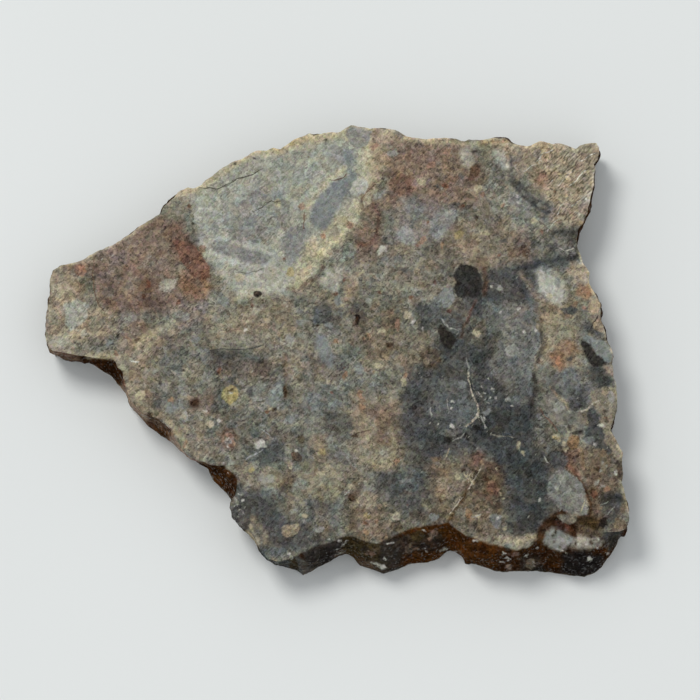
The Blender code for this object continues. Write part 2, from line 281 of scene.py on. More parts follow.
    ("brown", 0.5, 5, (372, 405, 392, 402, 394, 448, 378, 448)),
    ("fawn", 0.6, 6, (352, 512, 380, 510, 378, 538, 356, 536)),
    ("clay", 0.6, 4, (350, 508, 368, 506, 378, 522, 372, 534, 356, 530)),
    ("cocoa", 0.8, 4, (344, 484, 360, 484, 358, 502, 346, 504)),
    ("soot", 0.8, 5, (398, 474, 424, 472, 420, 490, 400, 490)),
    ("slate", 0.6, 5, (304, 500, 340, 500, 338, 520, 310, 520)),
    ("khaki", 0.8, 5, (310, 522, 334, 520, 334, 540, 312, 540)),
    ("olive", 0.7, 5, (276, 500, 304, 500, 304, 518, 280, 520)),
    ("peat", 0.8, 4, (280, 476, 292, 476, 292, 496, 280, 494)),
    ("taupe", 0.6, 5, (422, 498, 446, 500, 444, 518, 424, 516)),
    ("peat", 0.8, 5, (418, 510, 446, 512, 440, 524, 420, 522)),
    ("milk", 0.7, 3, (461, 147, 467, 144, 474, 150, 475, 160, 470, 167, 462, 168, 459, 158)),
    ("milk", 0.75, 3, (493, 150, 503, 150, 506, 160, 512, 165, 510, 170, 502, 168, 498, 160)),
    ("zinc", 0.9, 3, (402, 198, 416, 194, 426, 206, 424, 220, 412, 226, 403, 216)),
    ("grey", 0.75, 3, (432, 212, 446, 203, 460, 206, 458, 218, 448, 230, 438, 238, 429, 234)),
    ("mist", 0.8, 3, (398, 226, 406, 224, 414, 234, 417, 244, 404, 244, 396, 238)),
    ("putty", 0.8, 4, (545, 320, 553, 316, 562, 316, 573, 320, 577, 328, 573, 338, 565, 343, 556, 343,
        547, 340, 542, 330)),
    ("salmon", 0.5, 4, (555, 345, 568, 340, 577, 342, 577, 350, 570, 360, 560, 354)),
    ("ochre", 0.95, 2.5, (549, 352, 558, 349, 564, 356, 566, 367, 559, 371, 551, 364)),
    ("ochre", 0.7, 2, (566, 342, 574, 340, 577, 350, 570, 354, 565, 350)),
    ("ochre", 0.95, 3, (578, 283, 590, 282, 595, 292, 588, 300, 576, 296)),
    ("pale_green", 0.8, 3, (534, 270, 542, 265, 556, 272, 567, 284, 569, 298, 560, 308, 550, 305,
        538, 291)),
    ("buff", 0.8, 3, (570, 262, 582, 261, 589, 272, 586, 285, 577, 282, 569, 272)),
    ("clay", 0.8, 4, (125, 330, 133, 322, 147, 322, 148, 330, 140, 338, 128, 340, 120, 336)),
)

# Soft streaks and rims of the sawn face, with painted highlight along its upper rim: kind, cover,
# softness, width and line.
FACE_BANDS = (
    # The cream bands on this and the next three lines follow the upper rim: the rim's pale edge and in
    # part painted highlight where it catches the lamp.
    ("cream", 0.9, 3, 8, (176, 194, 206, 182, 232, 164, 254, 151)),
    ("cream", 0.95, 3, 10, (262, 151, 284, 147, 300, 139, 316, 136, 345, 133)),
    ("cream", 0.6, 2, 4, (98, 250, 130, 234, 152, 219)),
    ("cream", 0.6, 2, 4, (52, 274, 62, 266, 92, 257)),
    ("cream", 0.7, 3, 7, (56, 344, 68, 338, 82, 330)),
    ("cream", 0.7, 3, 5, (86, 356, 104, 357, 118, 358, 124, 372)),
    ("cream", 0.6, 3, 5, (172, 321, 158, 332, 147, 336, 138, 346, 132, 360)),
    ("cream", 0.5, 2, 3, (158, 336, 148, 350, 137, 361)),
    ("cream", 0.6, 3, 6, (133, 388, 140, 400, 150, 414)),
    ("cream", 0.6, 2, 4, (168, 420, 180, 436, 190, 450, 206, 461)),
    ("cream", 0.7, 3, 5, (345, 166, 330, 178, 318, 190, 309, 204, 305, 217)),
    ("cream", 0.6, 3, 5, (348, 196, 338, 213, 325, 232)),
    ("cream", 0.8, 4, 8, (364, 134, 368, 152, 370, 172, 366, 192)),
    ("cream", 0.75, 4, 8, (358, 208, 346, 228, 332, 242, 318, 254, 305, 272, 294, 286)),
    ("brown", 0.7, 2, 4, (163, 227, 173, 229, 181, 233, 188, 241, 194, 247)),
    ("brown", 0.6, 2, 4, (322, 267, 315, 278, 305, 285, 297, 292, 288, 289)),
    ("brown", 0.6, 2, 3, (374, 183, 365, 190, 361, 200, 363, 209)),
    ("maroon", 0.6, 2, 3, (373, 201, 378, 215, 377, 233, 370, 244, 360, 243)),
    ("slate", 0.85, 2, 3.5, (511, 155, 514, 180, 522, 186, 529, 192, 534, 201, 537, 212)),
    ("slate", 0.8, 2, 3, (535, 200, 545, 203, 553, 209, 545, 219)),
    # These two cream bands along the upper rim and the white one down its right end: the rim's pale edge
    # and in part painted highlight where it catches the lamp.
    ("cream", 0.7, 2, 4, (404, 139, 427, 141, 452, 140, 470, 142, 486, 141, 508, 142)),
    ("cream", 0.7, 2, 4, (530, 147, 541, 144, 560, 146, 577, 150, 598, 146)),
    ("white", 0.5, 2, 3, (597, 166, 594, 184, 590, 206)),
    ("orange", 0.6, 2, 3, (484, 140, 508, 141)),
    ("ink", 0.9, 2, 4, (510, 272, 520, 268, 545, 261, 575, 257, 583, 251)),
    ("tan", 0.85, 3, 5, (522, 272, 528, 282, 531, 290, 538, 298, 553, 308)),
    ("bistre", 0.8, 1.5, 3, (476, 300, 470, 312, 467, 320, 465, 327, 459, 338)),
    ("maroon", 0.5, 1, 2, (474, 304, 470, 312, 466, 322)),
    ("ink", 0.65, 2.5, 6, (556, 232, 566, 231, 578, 233)),
    ("ink", 0.6, 2, 3.5, (574, 228, 570, 238, 577, 243, 579, 252)),
    ("ink", 0.65, 2, 4, (546, 244, 553, 250, 547, 257, 556, 258)),
    ("grey", 0.5, 2, 4, (560, 249, 568, 246, 574, 252)),
    ("tan", 0.6, 1.5, 2.5, (577, 464, 580, 453, 590, 448, 600, 451, 606, 462, 604, 474, 596, 482,
        586, 480, 578, 472, 577, 464)),
    ("brown", 0.7, 1.5, 3, (221, 438, 225, 431, 233, 430, 238, 436, 237, 444, 231, 450, 224, 447,
        221, 438)),
    ("bistre", 0.85, 1.5, 5, (485, 269, 486, 280, 485, 294)),
    ("ink", 0.8, 1.5, 3.5, (512, 180, 519, 190, 528, 199, 538, 207, 549, 212)),
    ("ochre", 0.6, 1.5, 2.5, (549, 387, 556, 394, 562, 400, 567, 407)),
    ("charcoal", 0.7, 2, 3, (542, 320, 541, 335, 543, 345, 540, 352, 538, 361)),
    ("charcoal", 0.75, 3, 4, (534, 376, 536, 388, 531, 398, 533, 410)),
    ("cream", 0.6, 2, 4, (558, 396, 566, 404, 569, 412)),
    ("cream", 0.5, 3, 5, (390, 428, 394, 440, 392, 452, 384, 464, 374, 464)),
    ("ink", 0.7, 3, 5, (420, 372, 412, 386, 404, 398)),
    ("ink", 0.7, 3, 5, (424, 384, 418, 396, 414, 410)),
    ("umber", 0.85, 1.5, 2.5, (574, 474, 582, 484, 587, 494, 589, 504, 588, 514)),
    ("russet", 0.7, 2, 4, (565, 462, 572, 470, 579, 477)),
    ("umber", 0.9, 3, 6, (536, 541, 541, 529, 547, 521, 556, 515, 564, 511)),
    ("umber", 0.7, 1.5, 2.5, (466, 489, 461, 502, 453, 514, 446, 521)),
    ("bistre", 0.8, 2, 4, (466, 486, 478, 492, 488, 499, 496, 505)),
    ("brown", 0.6, 2, 4, (286, 356, 285, 366, 287, 382, 285, 398)),
    ("tan", 0.6, 2, 3, (290, 463, 289, 476)),
    ("cream", 0.7, 2, 5, (251, 526, 256, 533, 259, 543)),
    ("cream", 0.5, 3, 6, (254, 518, 262, 530, 266, 540)),
    ("mist", 0.3, 2, 4, (232, 506, 242, 494, 248, 486)),
    ("pink", 0.8, 1.5, 3, (206, 464, 218, 464, 227, 464)),
    ("sand", 0.9, 2, 7, (500, 537, 512, 540, 524, 539, 534, 535)),
    ("pink", 0.7, 2, 4, (604, 366, 612, 375)),
    ("ink", 0.8, 2, 4, (596, 380, 606, 382, 615, 381)),
    ("cream", 0.5, 2, 3, (619, 476, 621, 490, 624, 498)),
    ("charcoal", 0.8, 2, 4, (616, 458, 620, 468, 619, 476)),
    ("cream", 0.5, 2, 3, (610, 434, 618, 446, 621, 458)),
)

# Clasts of the sawn face that end sharply: kind and outline.
FACE_CLASTS = (
    ("salmon", (74, 265, 84, 265, 85, 272, 82, 277, 76, 276, 73, 270)),
    ("sand", (52, 272, 66, 264, 72, 272, 69, 290, 56, 294, 51, 284)),
    ("pale_green", (63, 303, 75, 300, 88, 303, 88, 315, 80, 325, 70, 332, 64, 325, 65, 312)),
    ("bone", (160, 282, 168, 279, 176, 280, 175, 290, 166, 292, 160, 290)),
    ("black", (355, 315, 358, 314, 360, 318, 359, 325, 355, 326, 354, 320)),
    ("black", (255, 292, 260, 291, 262, 295, 257, 298, 254, 296)),
    ("russet", (172, 241, 188, 241, 199, 252, 208, 266, 211, 276, 202, 280, 190, 274, 180, 262)),
    ("pewter", (346, 128, 352, 124, 366, 126, 372, 130, 370, 138, 366, 146, 358, 148, 350, 143,
        346, 135)),
    ("steel", (344, 150, 350, 150, 354, 156, 350, 160, 344, 158)),
    ("milk", (352, 182, 362, 178, 368, 182, 366, 190, 356, 195, 350, 190)),
    ("slate", (313, 308, 322, 303, 331, 308, 332, 319, 325, 325, 315, 322)),
    ("brown", (392, 180, 400, 172, 410, 175, 412, 188, 405, 195, 395, 192)),
    ("brown", (470, 165, 478, 162, 480, 172, 476, 180, 469, 178)),
    ("bistre", (519, 247, 525, 243, 531, 248, 530, 256, 522, 257)),
    ("milk", (377, 252, 382, 245, 387, 246, 385, 253, 378, 257)),
    ("jet", (455, 274, 458, 268, 463, 265, 472, 265, 477, 268, 482, 275, 482, 287, 480, 295, 472, 298,
        466, 295, 460, 298, 456, 295, 454, 287, 456, 281)),
    ("steel", (438, 292, 444, 287, 453, 286, 454, 292, 456, 299, 450, 307, 443, 306, 438, 300)),
    ("soot", (441, 319, 448, 316, 456, 318, 462, 324, 462, 332, 454, 334, 447, 328)),
    ("charcoal", (436, 328, 442, 324, 447, 329, 453, 334, 457, 340, 453, 350, 446, 347, 440, 340)),
    ("tan", (424, 359, 427, 357, 431, 358, 433, 362, 428, 366, 424, 364)),
    ("slate", (487, 285, 495, 272, 508, 267, 520, 268, 515, 275, 518, 288, 522, 295, 520, 302, 500, 300,
        490, 297)),
    ("milk", (538, 273, 542, 270, 549, 275, 557, 278, 563, 286, 565, 293, 564, 299, 559, 304, 553, 302,
        546, 296, 540, 288)),
    ("buff", (590, 298, 597, 297, 601, 303, 599, 314, 593, 315, 588, 308)),
    ("slate", (560, 309, 570, 306, 578, 309, 575, 314, 565, 315)),
    ("lead", (500, 322, 520, 318, 535, 322, 540, 335, 538, 350, 533, 365, 530, 380, 515, 388, 500, 385,
        490, 375, 488, 365, 497, 350, 500, 335)),
    ("jet", (581, 339, 586, 341, 591, 345, 596, 351, 601, 358, 607, 363, 604, 366, 594, 367, 589, 363,
        586, 356, 584, 351, 581, 345)),
    ("steel", (582, 337, 589, 335.5, 596, 339, 605, 342, 610, 349, 613, 356, 611, 362, 607, 364,
        603, 361, 599, 355, 594, 348, 589, 342.5, 583, 340)),
    ("tan", (593, 323, 600, 318, 604, 325, 602, 332, 595, 330)),
    ("soot", (428, 396, 434, 387, 443, 381, 456, 380, 466, 386, 473, 396, 478, 408, 475, 420, 466, 429,
        454, 437, 443, 436, 434, 425, 428, 412)),
    ("iron", (502, 384, 516, 379, 530, 383, 533, 396, 522, 406, 508, 402)),
    ("dove", (540, 402, 545, 397, 552, 398, 562, 402, 568, 410, 570, 417, 568, 425, 565, 433, 560, 432,
        555, 425, 548, 415, 542, 408)),
    ("dove", (573, 415, 578, 413, 583, 417, 585, 424, 584, 429, 579, 430, 576, 426, 573, 420)),
    ("shell", (590, 392, 595, 390, 602, 387, 610, 386, 615, 388, 617, 402, 616, 412, 613, 420, 610, 428,
        606, 432, 601, 425, 600, 415, 597, 412, 592, 405)),
    ("slate", (586, 410, 592, 408, 598, 415, 600, 425, 603, 435, 605, 445, 612, 452, 608, 456, 600, 449,
        590, 445, 583, 440, 585, 430, 588, 420)),
    ("shell", (602, 430, 608, 430, 613, 437, 618, 444, 622, 452, 621, 460, 617, 458, 612, 453, 607, 447,
        604, 440)),
    ("honey", (567, 437, 573, 435, 579, 436, 580, 442, 577, 448, 571, 450, 566, 445)),
    ("slate", (552, 452, 560, 450, 566, 456, 566, 465, 560, 468, 554, 468, 550, 462)),
    ("fawn", (583, 453, 588, 449, 596, 448, 604, 451, 608, 457, 609, 465, 606, 472, 599, 476, 590, 474,
        585, 470, 583, 462)),
    ("khaki", (609, 455, 614, 456, 618, 465, 615, 475, 608, 478, 606, 474, 611, 468, 612, 461)),
    ("zinc", (546, 490, 548, 480, 553, 472, 560, 467.5, 568, 472, 575, 477, 581, 485, 584, 493, 586, 503,
        585, 512.5, 580, 515, 571, 513, 562, 510, 555, 503, 549, 497)),
    ("olive", (557, 516, 566, 514, 576, 515, 574, 522, 566, 524, 559, 521)),
    ("taupe", (593, 501, 600, 501, 602, 508, 597, 511, 592, 507)),
    ("taupe", (620, 504, 625, 504, 626, 512, 621, 513)),
    ("yellow", (224, 388, 231, 384, 238, 388, 239, 395, 234, 401, 230, 405, 225, 400, 222, 394)),
    ("bistre", (189, 401, 197, 398, 201, 403, 198, 410, 191, 408)),
    ("ash", (182, 412, 187, 410, 189, 420, 184, 423, 180, 420)),
    ("milk", (256, 443, 261, 440, 266, 442, 267, 447, 262, 446, 258, 449, 255, 448)),
    ("putty", (262, 468, 268, 465, 277, 466, 283, 473, 283, 482, 277, 488, 269, 487, 264, 480)),
    ("sand", (283, 532, 283, 527, 287, 524, 292, 523, 297, 522, 300, 527, 298, 532, 294, 535, 288, 536,
        284, 535)),
    ("shell", (360, 412, 374, 420, 377, 434, 368, 443, 357, 436, 353, 422)),
    ("putty", (372, 450, 384, 446, 393, 452, 393, 462, 385, 468, 376, 465, 371, 458)),
    ("sand", (358, 500, 362, 493, 370, 490, 377, 495, 377, 503, 370, 508, 362, 507)),
    ("bone", (391, 517, 392, 513, 396, 511, 400, 513, 400, 518, 394, 519)),
    ("peat", (391, 520, 398, 518, 403, 523, 401, 529, 394, 531, 390, 526)),
    ("putty", (422, 503, 427, 502, 432, 505, 431, 509, 424, 508)),
    ("honey", (465, 508, 470, 508, 473, 513, 470, 520, 466, 518, 464, 512)),
    ("zinc", (489, 515, 494, 512, 500, 515, 501, 522, 498, 528, 491, 525)),
    ("jet", (524, 469, 528, 466.5, 532, 470, 532, 477, 526, 477.5, 523, 474)),
    ("slate", (425, 450, 438, 449, 441, 454, 434, 458, 424, 456)),
    ("fawn", (430, 458, 441, 456, 442, 461, 433, 463)),
    ("peat", (297, 436, 303, 434, 306, 440, 303, 445, 298, 443)),
    ("bistre", (292, 453, 298, 450, 302, 456, 299, 461, 293, 459)),
    ("fawn", (613, 518, 626, 518, 626, 525, 621, 530, 614, 527)),
    ("black", (598, 518, 604, 517, 607, 524, 602, 528, 598, 525)),
)

# Small grains and specks, and painted glints: for each kind its places, and half of each one's
# width and height.
FACE_SPOTS = {
    "bistre": (
        (257, 294, 3, 2.2), (252, 299, 1.5, 1.5), (262, 299, 1.8, 1.3), (353, 313, 2.8, 2.5),
        (354, 324, 2.8, 4), (349, 306, 1.5, 1.2), (594, 478, 3, 2.5), (600, 463, 2, 3), (584, 468, 2, 2),
    ),
    # The white specks are painted glints, where the lamp catches small crystals.
    "white": (
        (229, 437, 1.3, 1), (226, 442, 0.8, 0.8), (233, 441, 0.9, 1), (588, 200, 1.5, 2),
        (518, 195, 1.5, 2), (519, 202, 1.5, 1.5), (491, 287, 1.5, 1.5), (413, 322, 2, 1.5),
        (423, 328, 1.5, 1.5), (245, 330, 1.5, 1.5), (520, 310, 2, 1.5), (536, 330, 1.5, 1.5),
        (525, 331, 2, 1.2), (500, 312, 1.5, 1.5), (453, 401, 1.8, 1.8), (451, 408, 1.5, 1.2),
        (452, 426, 2.8, 2.2), (206, 412, 1.8, 1.6), (218, 421, 1.5, 2), (232, 392, 1.8, 1.6),
        (262, 442, 3, 2), (227, 439, 1.5, 1.5), (228, 447, 1.5, 1.5), (297, 450, 1.5, 1.5),
        (303, 520, 1.6, 2), (497, 518, 1.4, 2.5), (582, 505, 1.2, 2), (598, 482, 1.2, 1),
        (482, 386, 0.9, 0.9), (485, 392, 1, 1), (490, 396, 0.9, 0.9), (478, 392, 0.8, 1),
        (494, 391, 0.8, 0.8), (489, 403, 0.9, 0.9), (512, 407, 1.6, 1), (447, 399, 0.9, 1.5),
        (289, 553, 2, 1.5), (292, 557, 1.2, 1.5), (241, 494, 1.2, 1), (246, 490, 1, 1.2),
        (238, 503, 1.2, 1), (241, 509, 1, 1), (244, 513, 0.9, 1.5), (236, 498, 1, 1), (243, 500, 1, 0.9),
        (240, 515, 1, 1.2), (247, 496, 0.9, 0.9), (235, 506, 0.9, 0.9), (539, 499, 1.5, 1.5),
        (594, 444, 1.5, 1.5), (615, 473, 1.5, 3), (600, 426, 3, 2), (484, 418, 1.2, 2.5),
        (437, 424, 1.3, 2), (480, 395, 1, 1), (492, 388, 1, 1), (486, 402, 1, 1), (496, 398, 1, 1),
        (488, 380, 1, 1),
    ),
    "cream": (
        (278, 203, 3, 5), (240, 278, 4, 4), (250, 296, 3, 3), (307, 247, 4, 4), (341, 305, 4, 2),
        (305, 310, 3, 2), (382, 331, 4, 2), (407, 315, 4, 4), (423, 180, 6, 4), (370, 200, 3, 3),
        (478, 188, 4, 3), (485, 233, 5, 4), (535, 220, 4, 3), (476, 333, 5, 4), (513, 145, 3, 3),
        (184, 417, 3, 4), (141, 396, 5, 6), (210, 424, 4, 4), (269, 408, 2, 3), (329, 382, 2, 3),
        # The cream specks from (556, 436) to (561, 436), and those at (519, 445) and (523, 453), are
        # painted golden glints.
        (378, 366, 5, 3), (404, 381, 3, 5), (556, 436, 1.6, 1.5), (559, 441, 1.2, 2), (563, 444, 2, 2.5),
        (566, 449, 1.4, 2), (561, 436, 1.2, 1.2), (585, 503, 1.2, 3), (519, 445, 2, 4),
        (523, 453, 1.5, 3), (305, 515, 3, 2.5), (291, 468, 2, 3), (352, 487, 4, 3), (443, 496, 3, 2),
        (505, 528, 2, 3), (617, 446, 2, 4), (500, 494, 1.5, 2), (497, 469, 1.5, 1.5),
        (503, 499, 1.5, 1.2), (494, 502, 1.2, 1.2), (321, 472, 5, 3), (328, 466, 4, 3), (368, 437, 4, 4),
        (550, 296, 4, 4), (477, 516, 4, 2), (458, 476, 3, 3), (517, 540, 5, 2.5), (506, 539, 5, 2),
    ),
    "yellow": (
        # The yellow specks at (556, 438), (469, 475) and (473, 482) are painted golden glints.
        (290, 272, 4, 5), (460, 235, 6, 4), (322, 452, 4, 4), (232, 396, 4, 3), (556, 438, 4, 2),
        (252, 470, 4, 3), (292, 142, 4, 2), (367, 515, 3, 3), (469, 475, 2, 1.5), (473, 482, 1.5, 2),
    ),
    "orange": ((323, 236, 3, 3), (558, 361, 4, 5)),
    "ochre": (
        (336, 341, 3, 3), (171, 401, 3.5, 4), (369, 334, 3, 3), (483, 194, 2.5, 2.5),
        (443, 245, 2.5, 3.5), (405, 376, 3, 3), (363, 407, 3.5, 4), (360, 395, 3, 5), (396, 461, 4, 3),
        (345, 375, 2, 4), (116, 354, 3, 3), (185, 444, 2, 6), (366, 531, 3, 4), (376, 520, 3, 3),
        (606, 489, 4, 3), (575, 305, 3, 3),
    ),
    "salmon": (
        (203, 250, 5, 5), (302, 205, 4, 4), (375, 145, 4, 3), (545, 177, 6, 4), (585, 307, 3, 2.5),
        (585, 290, 5, 4), (230, 436, 4, 3), (234, 443, 3, 3), (350, 225, 4, 5), (448, 150, 5, 4),
        (432, 165, 5, 3), (504, 204, 3, 3), (398, 325, 2.5, 6), (422, 240, 4, 4),
    ),
    "rust": (
        (147, 284, 2.5, 4), (143, 296, 2, 3), (189, 206, 1.6, 2.5), (284, 258, 2.4, 2.4),
        (418, 244, 2.5, 2), (219, 371, 2, 4), (125, 383, 2, 5), (541, 231, 1.5, 2.5), (363, 339, 2, 2),
        (344, 280, 2, 2.5), (335, 294, 2.5, 2.5), (252, 305, 2, 2), (267, 412, 3, 2), (231, 446, 3, 3),
        (594, 494, 4, 4), (178, 302, 3, 3), (374, 372, 2, 2), (605, 418, 2.5, 1.5), (445, 185, 4, 3),
        (427, 222, 2, 2), (463, 206, 3, 2), (411, 298, 2, 2.5), (380, 292, 2, 2), (499, 255, 2.5, 2),
        (555, 190, 2, 2), (366, 522, 3, 2), (332, 392, 2, 2),
    ),
    "maroon": ((434, 282.5, 2.8, 2.6), (450, 311, 4, 2.6)),
    "ink": ((461, 290, 4, 5), (480, 275, 2, 3), (528, 470, 1.5, 2)),
    "umber": (
        (356.5, 320, 2.2, 3.2), (195, 404, 3.5, 3.5), (390, 345, 4, 4), (478, 218, 2.2, 3),
        (285, 392, 2.2, 6), (274, 410, 2.5, 3), (318, 327, 2, 2), (356, 436, 4, 2), (597, 469, 4, 3),
        (591, 490, 3, 3), (563, 357, 1.5, 1.5), (138, 341, 3, 2), (232, 390, 3, 1.5), (150, 414, 4, 3),
        (353, 497, 4, 4), (440, 500, 2.5, 2.5), (463, 470, 3, 2), (487, 479, 3, 3),
    ),
    "black": (
        (252, 158, 3, 1.3), (234, 162, 1.6, 1.6), (325.5, 139, 1.6, 1.6), (259, 296, 2, 2),
        (396, 218, 1.6, 1.6), (476, 150, 2.4, 1.5), (458, 218, 1.8, 1.8), (193, 223, 2, 2.5),
        (415, 409, 3.2, 2), (577, 432, 6, 3.5), (569, 427, 2, 3), (160, 383, 2, 3.5),
        (261, 438, 2.5, 1.8), (428, 377, 3.5, 1.8), (603, 340, 3, 1.8), (580, 407, 4, 1.6),
        (422, 404, 1.6, 1.6), (118, 335, 3, 3), (122, 263, 2.5, 2.5), (422, 168, 1.6, 1.6),
        (383, 177, 1.8, 1.6), (438, 171, 1.6, 1.4), (483, 177, 2, 1.6), (165, 226, 1.6, 1.6),
        (606, 422, 2, 1.3), (606, 410, 4, 1.4), (320, 489, 2, 2), (466, 436, 4, 4), (477, 427, 6, 3.5),
        (448, 441, 6, 4), (301, 379, 3, 2), (262, 362, 4, 2),
    ),
    "slate": (
        (436, 185, 2.4, 1.8), (455, 205, 5, 4), (535, 243, 4, 4), (397, 312, 3, 2), (485, 375, 5, 5),
        (530, 345, 3, 4), (569, 358, 3, 3), (265, 504, 6, 6), (277, 448, 6, 4), (331, 417, 6, 4),
        (357, 305, 4, 3), (340, 368, 4, 4), (345, 463, 4, 3), (312, 452, 4, 3), (410, 486, 5, 3),
        (380, 478, 5, 3), (158, 402, 5, 5), (178, 368, 5, 4), (230, 380, 4, 3), (250, 392, 4, 5),
        (405, 270, 4, 3), (372, 280, 3, 3), (385, 240, 3, 3), (505, 240, 4, 3), (462, 176, 3, 3),
    ),
    "steel": (
        (328, 325, 5, 3), (462, 384, 6, 3), (358, 370, 5, 6), (270, 402, 6, 4), (172, 407, 6, 5),
        (406, 481, 6, 3), (588, 440, 6, 4), (529, 374, 3, 7), (558, 283, 4, 5), (224, 302, 6, 5),
        (300, 322, 4, 4), (196, 340, 5, 4), (432, 516, 6, 4), (290, 420, 5, 4), (338, 300, 4, 5),
        (214, 228, 6, 6), (250, 222, 6, 5), (486, 412, 5, 3),
    ),
    "ash": (
        (205, 215, 5, 6), (225, 205, 5, 5), (378, 195, 4, 3), (602, 463, 1.8, 3), (606, 467, 1.6, 2),
        (600, 471, 2.4, 1.6), (597, 482, 3, 2.2), (603, 486, 2, 1.5), (562, 480, 3, 5), (568, 490, 3, 4),
        (556, 488, 2.5, 4), (320, 528, 5, 4), (256, 398, 6, 2), (269, 479, 6, 5), (558, 408, 6, 6),
        (610, 397, 4, 6), (512, 350, 8, 6), (255, 285, 8, 4), (231, 178, 5, 3), (300, 168, 6, 4),
        (330, 150, 6, 4), (262, 168, 6, 3), (500, 288, 3, 3), (393, 152, 5, 4), (368, 300, 4, 3),
        (290, 340, 5, 4), (186, 316, 5, 4), (508, 400, 4, 3),
    ),
}

# Thin veins and hairlines, and strokes of painted glint: kind, width and line.
VEINS = (
    ("ink", 1.2, (208, 352, 225, 349, 245, 350, 262, 347)),
    # The milk and white strokes on this and the next eight lines are painted glints along the saw marks.
    ("milk", 0.9, (558, 214, 563, 206, 569, 199)),
    ("white", 0.9, (572, 183, 579, 175, 587, 169)),
    ("white", 0.9, (583, 161, 591, 154, 597, 151)),
    ("milk", 0.9, (538, 160, 546, 153, 555, 149)),
    ("milk", 0.8, (526, 170, 533, 165, 541, 162)),
    ("milk", 0.8, (548, 231, 554, 223, 561, 218)),
    ("milk", 0.9, (574, 207, 582, 199, 590, 194)),
    ("milk", 0.8, (559, 184, 566, 177, 573, 171)),
    ("milk", 0.9, (559, 248, 565, 251, 573, 248)),
    ("steel", 0.9, (520, 204, 526, 209, 531, 207)),
    ("bone", 1.8, (468, 372, 469, 378, 471, 387, 473, 397, 477, 405, 478, 412, 476, 417, 471, 422,
        466, 426)),
    ("grey", 1.5, (466, 359, 467, 365, 468, 372)),
    ("pewter", 1.4, (464, 433, 460, 437, 455, 441)),
    ("bone", 1.2, (462, 498, 456, 506, 449, 513)),
    ("sand", 1.2, (459, 497, 452, 505)),
    ("cream", 1.3, (464, 472, 469, 479, 473, 484)),
    ("bone", 1.2, (480, 469, 472, 480)),
    ("khaki", 1.2, (236, 272, 248, 273, 262, 269)),
    ("brown", 1.3, (364, 206, 362, 198, 367, 190, 374, 184)),
    ("dove", 1.2, (490, 435, 500, 436, 512, 437)),
    ("ash", 1.6, (480, 416, 484, 422, 486, 427)),
    ("sand", 1.2, (449, 449, 446, 458, 441, 464, 450, 461)),
    ("grey", 1.1, (446, 399, 447, 406, 449, 412)),
    ("ash", 1.4, (430, 409, 432, 416)),
    ("bone", 1.4, (476, 476, 472, 483, 468, 488)),
    ("bone", 1.3, (470, 474, 463, 481)),
    ("ash", 1.6, (255, 401, 263, 398, 271, 396)),
    ("mist", 1.5, (248, 458, 256, 452, 263, 450)),
    ("mist", 1.4, (262, 430, 270, 435)),
    ("ash", 1.4, (443, 320, 447, 325, 452, 329, 458, 330)),
    ("white", 1.6, (132, 362, 138, 361)),
    ("sand", 1.5, (390, 429, 394, 438, 393, 446, 388, 451)),
    ("sand", 1.5, (375, 466, 385, 469)),
    ("ash", 1.3, (474, 517, 480, 515)),
    ("ash", 1.6, (548, 462, 543, 456)),
    ("white", 1.6, (166, 424, 172, 431)),
    ("ash", 1.3, (563, 474, 557, 490)),
    ("cream", 1.5, (583, 500, 579, 509)),
    ("ash", 1.2, (345, 497, 350, 491)),
    ("grey", 1.2, (600, 506, 608, 500)),
    ("grey", 1.2, (606, 514, 614, 507)),
    ("bone", 1.8, (579, 413, 587, 409, 594, 403, 601, 399)),
    ("brown", 1.6, (541, 410, 545, 418, 552, 422, 557, 431)),
    ("brown", 1.5, (93, 262, 92, 276, 93, 290, 97, 303, 105, 312)),
    ("brown", 1.4, (305, 213, 303, 228)),
    ("bistre", 1.2, (356, 434, 362, 431, 368, 430)),
    ("charcoal", 1.2, (598, 318, 594, 323, 592, 329)),
    ("maroon", 1.3, (331, 180, 340, 178, 345, 177, 346, 173)),
    ("brown", 1.4, (567, 449, 570, 460, 577, 468)),
    ("brown", 1.3, (600, 480, 596, 490)),
)

# Where the saw marks are plain to see, and the painted glints along them thickest: strength,
# softness and outline.
SAWN_PATCHES = (
    (1.5, 8, (540, 146, 600, 146, 594, 190, 590, 220, 560, 225, 545, 190)),
    (0.9, 6, (52, 296, 100, 300, 125, 318, 120, 345, 64, 352, 48, 330)),
    (0.9, 5, (130, 345, 165, 326, 180, 334, 160, 362, 136, 372)),
    (0.8, 6, (255, 205, 300, 212, 296, 240, 262, 244, 244, 226)),
    (0.8, 6, (545, 228, 580, 226, 584, 256, 550, 262)),
    (0.8, 8, (470, 320, 530, 330, 530, 400, 480, 410, 460, 370)),
)

# Open cracks in the sawn face.
CRACKS = (
    (198, 187, 208, 187, 217, 188, 228, 183, 237, 178, 243, 176, 252, 174, 258, 170, 262, 167),
    (255, 210, 262, 207, 266, 203, 271, 200, 276, 202, 281, 200),
)
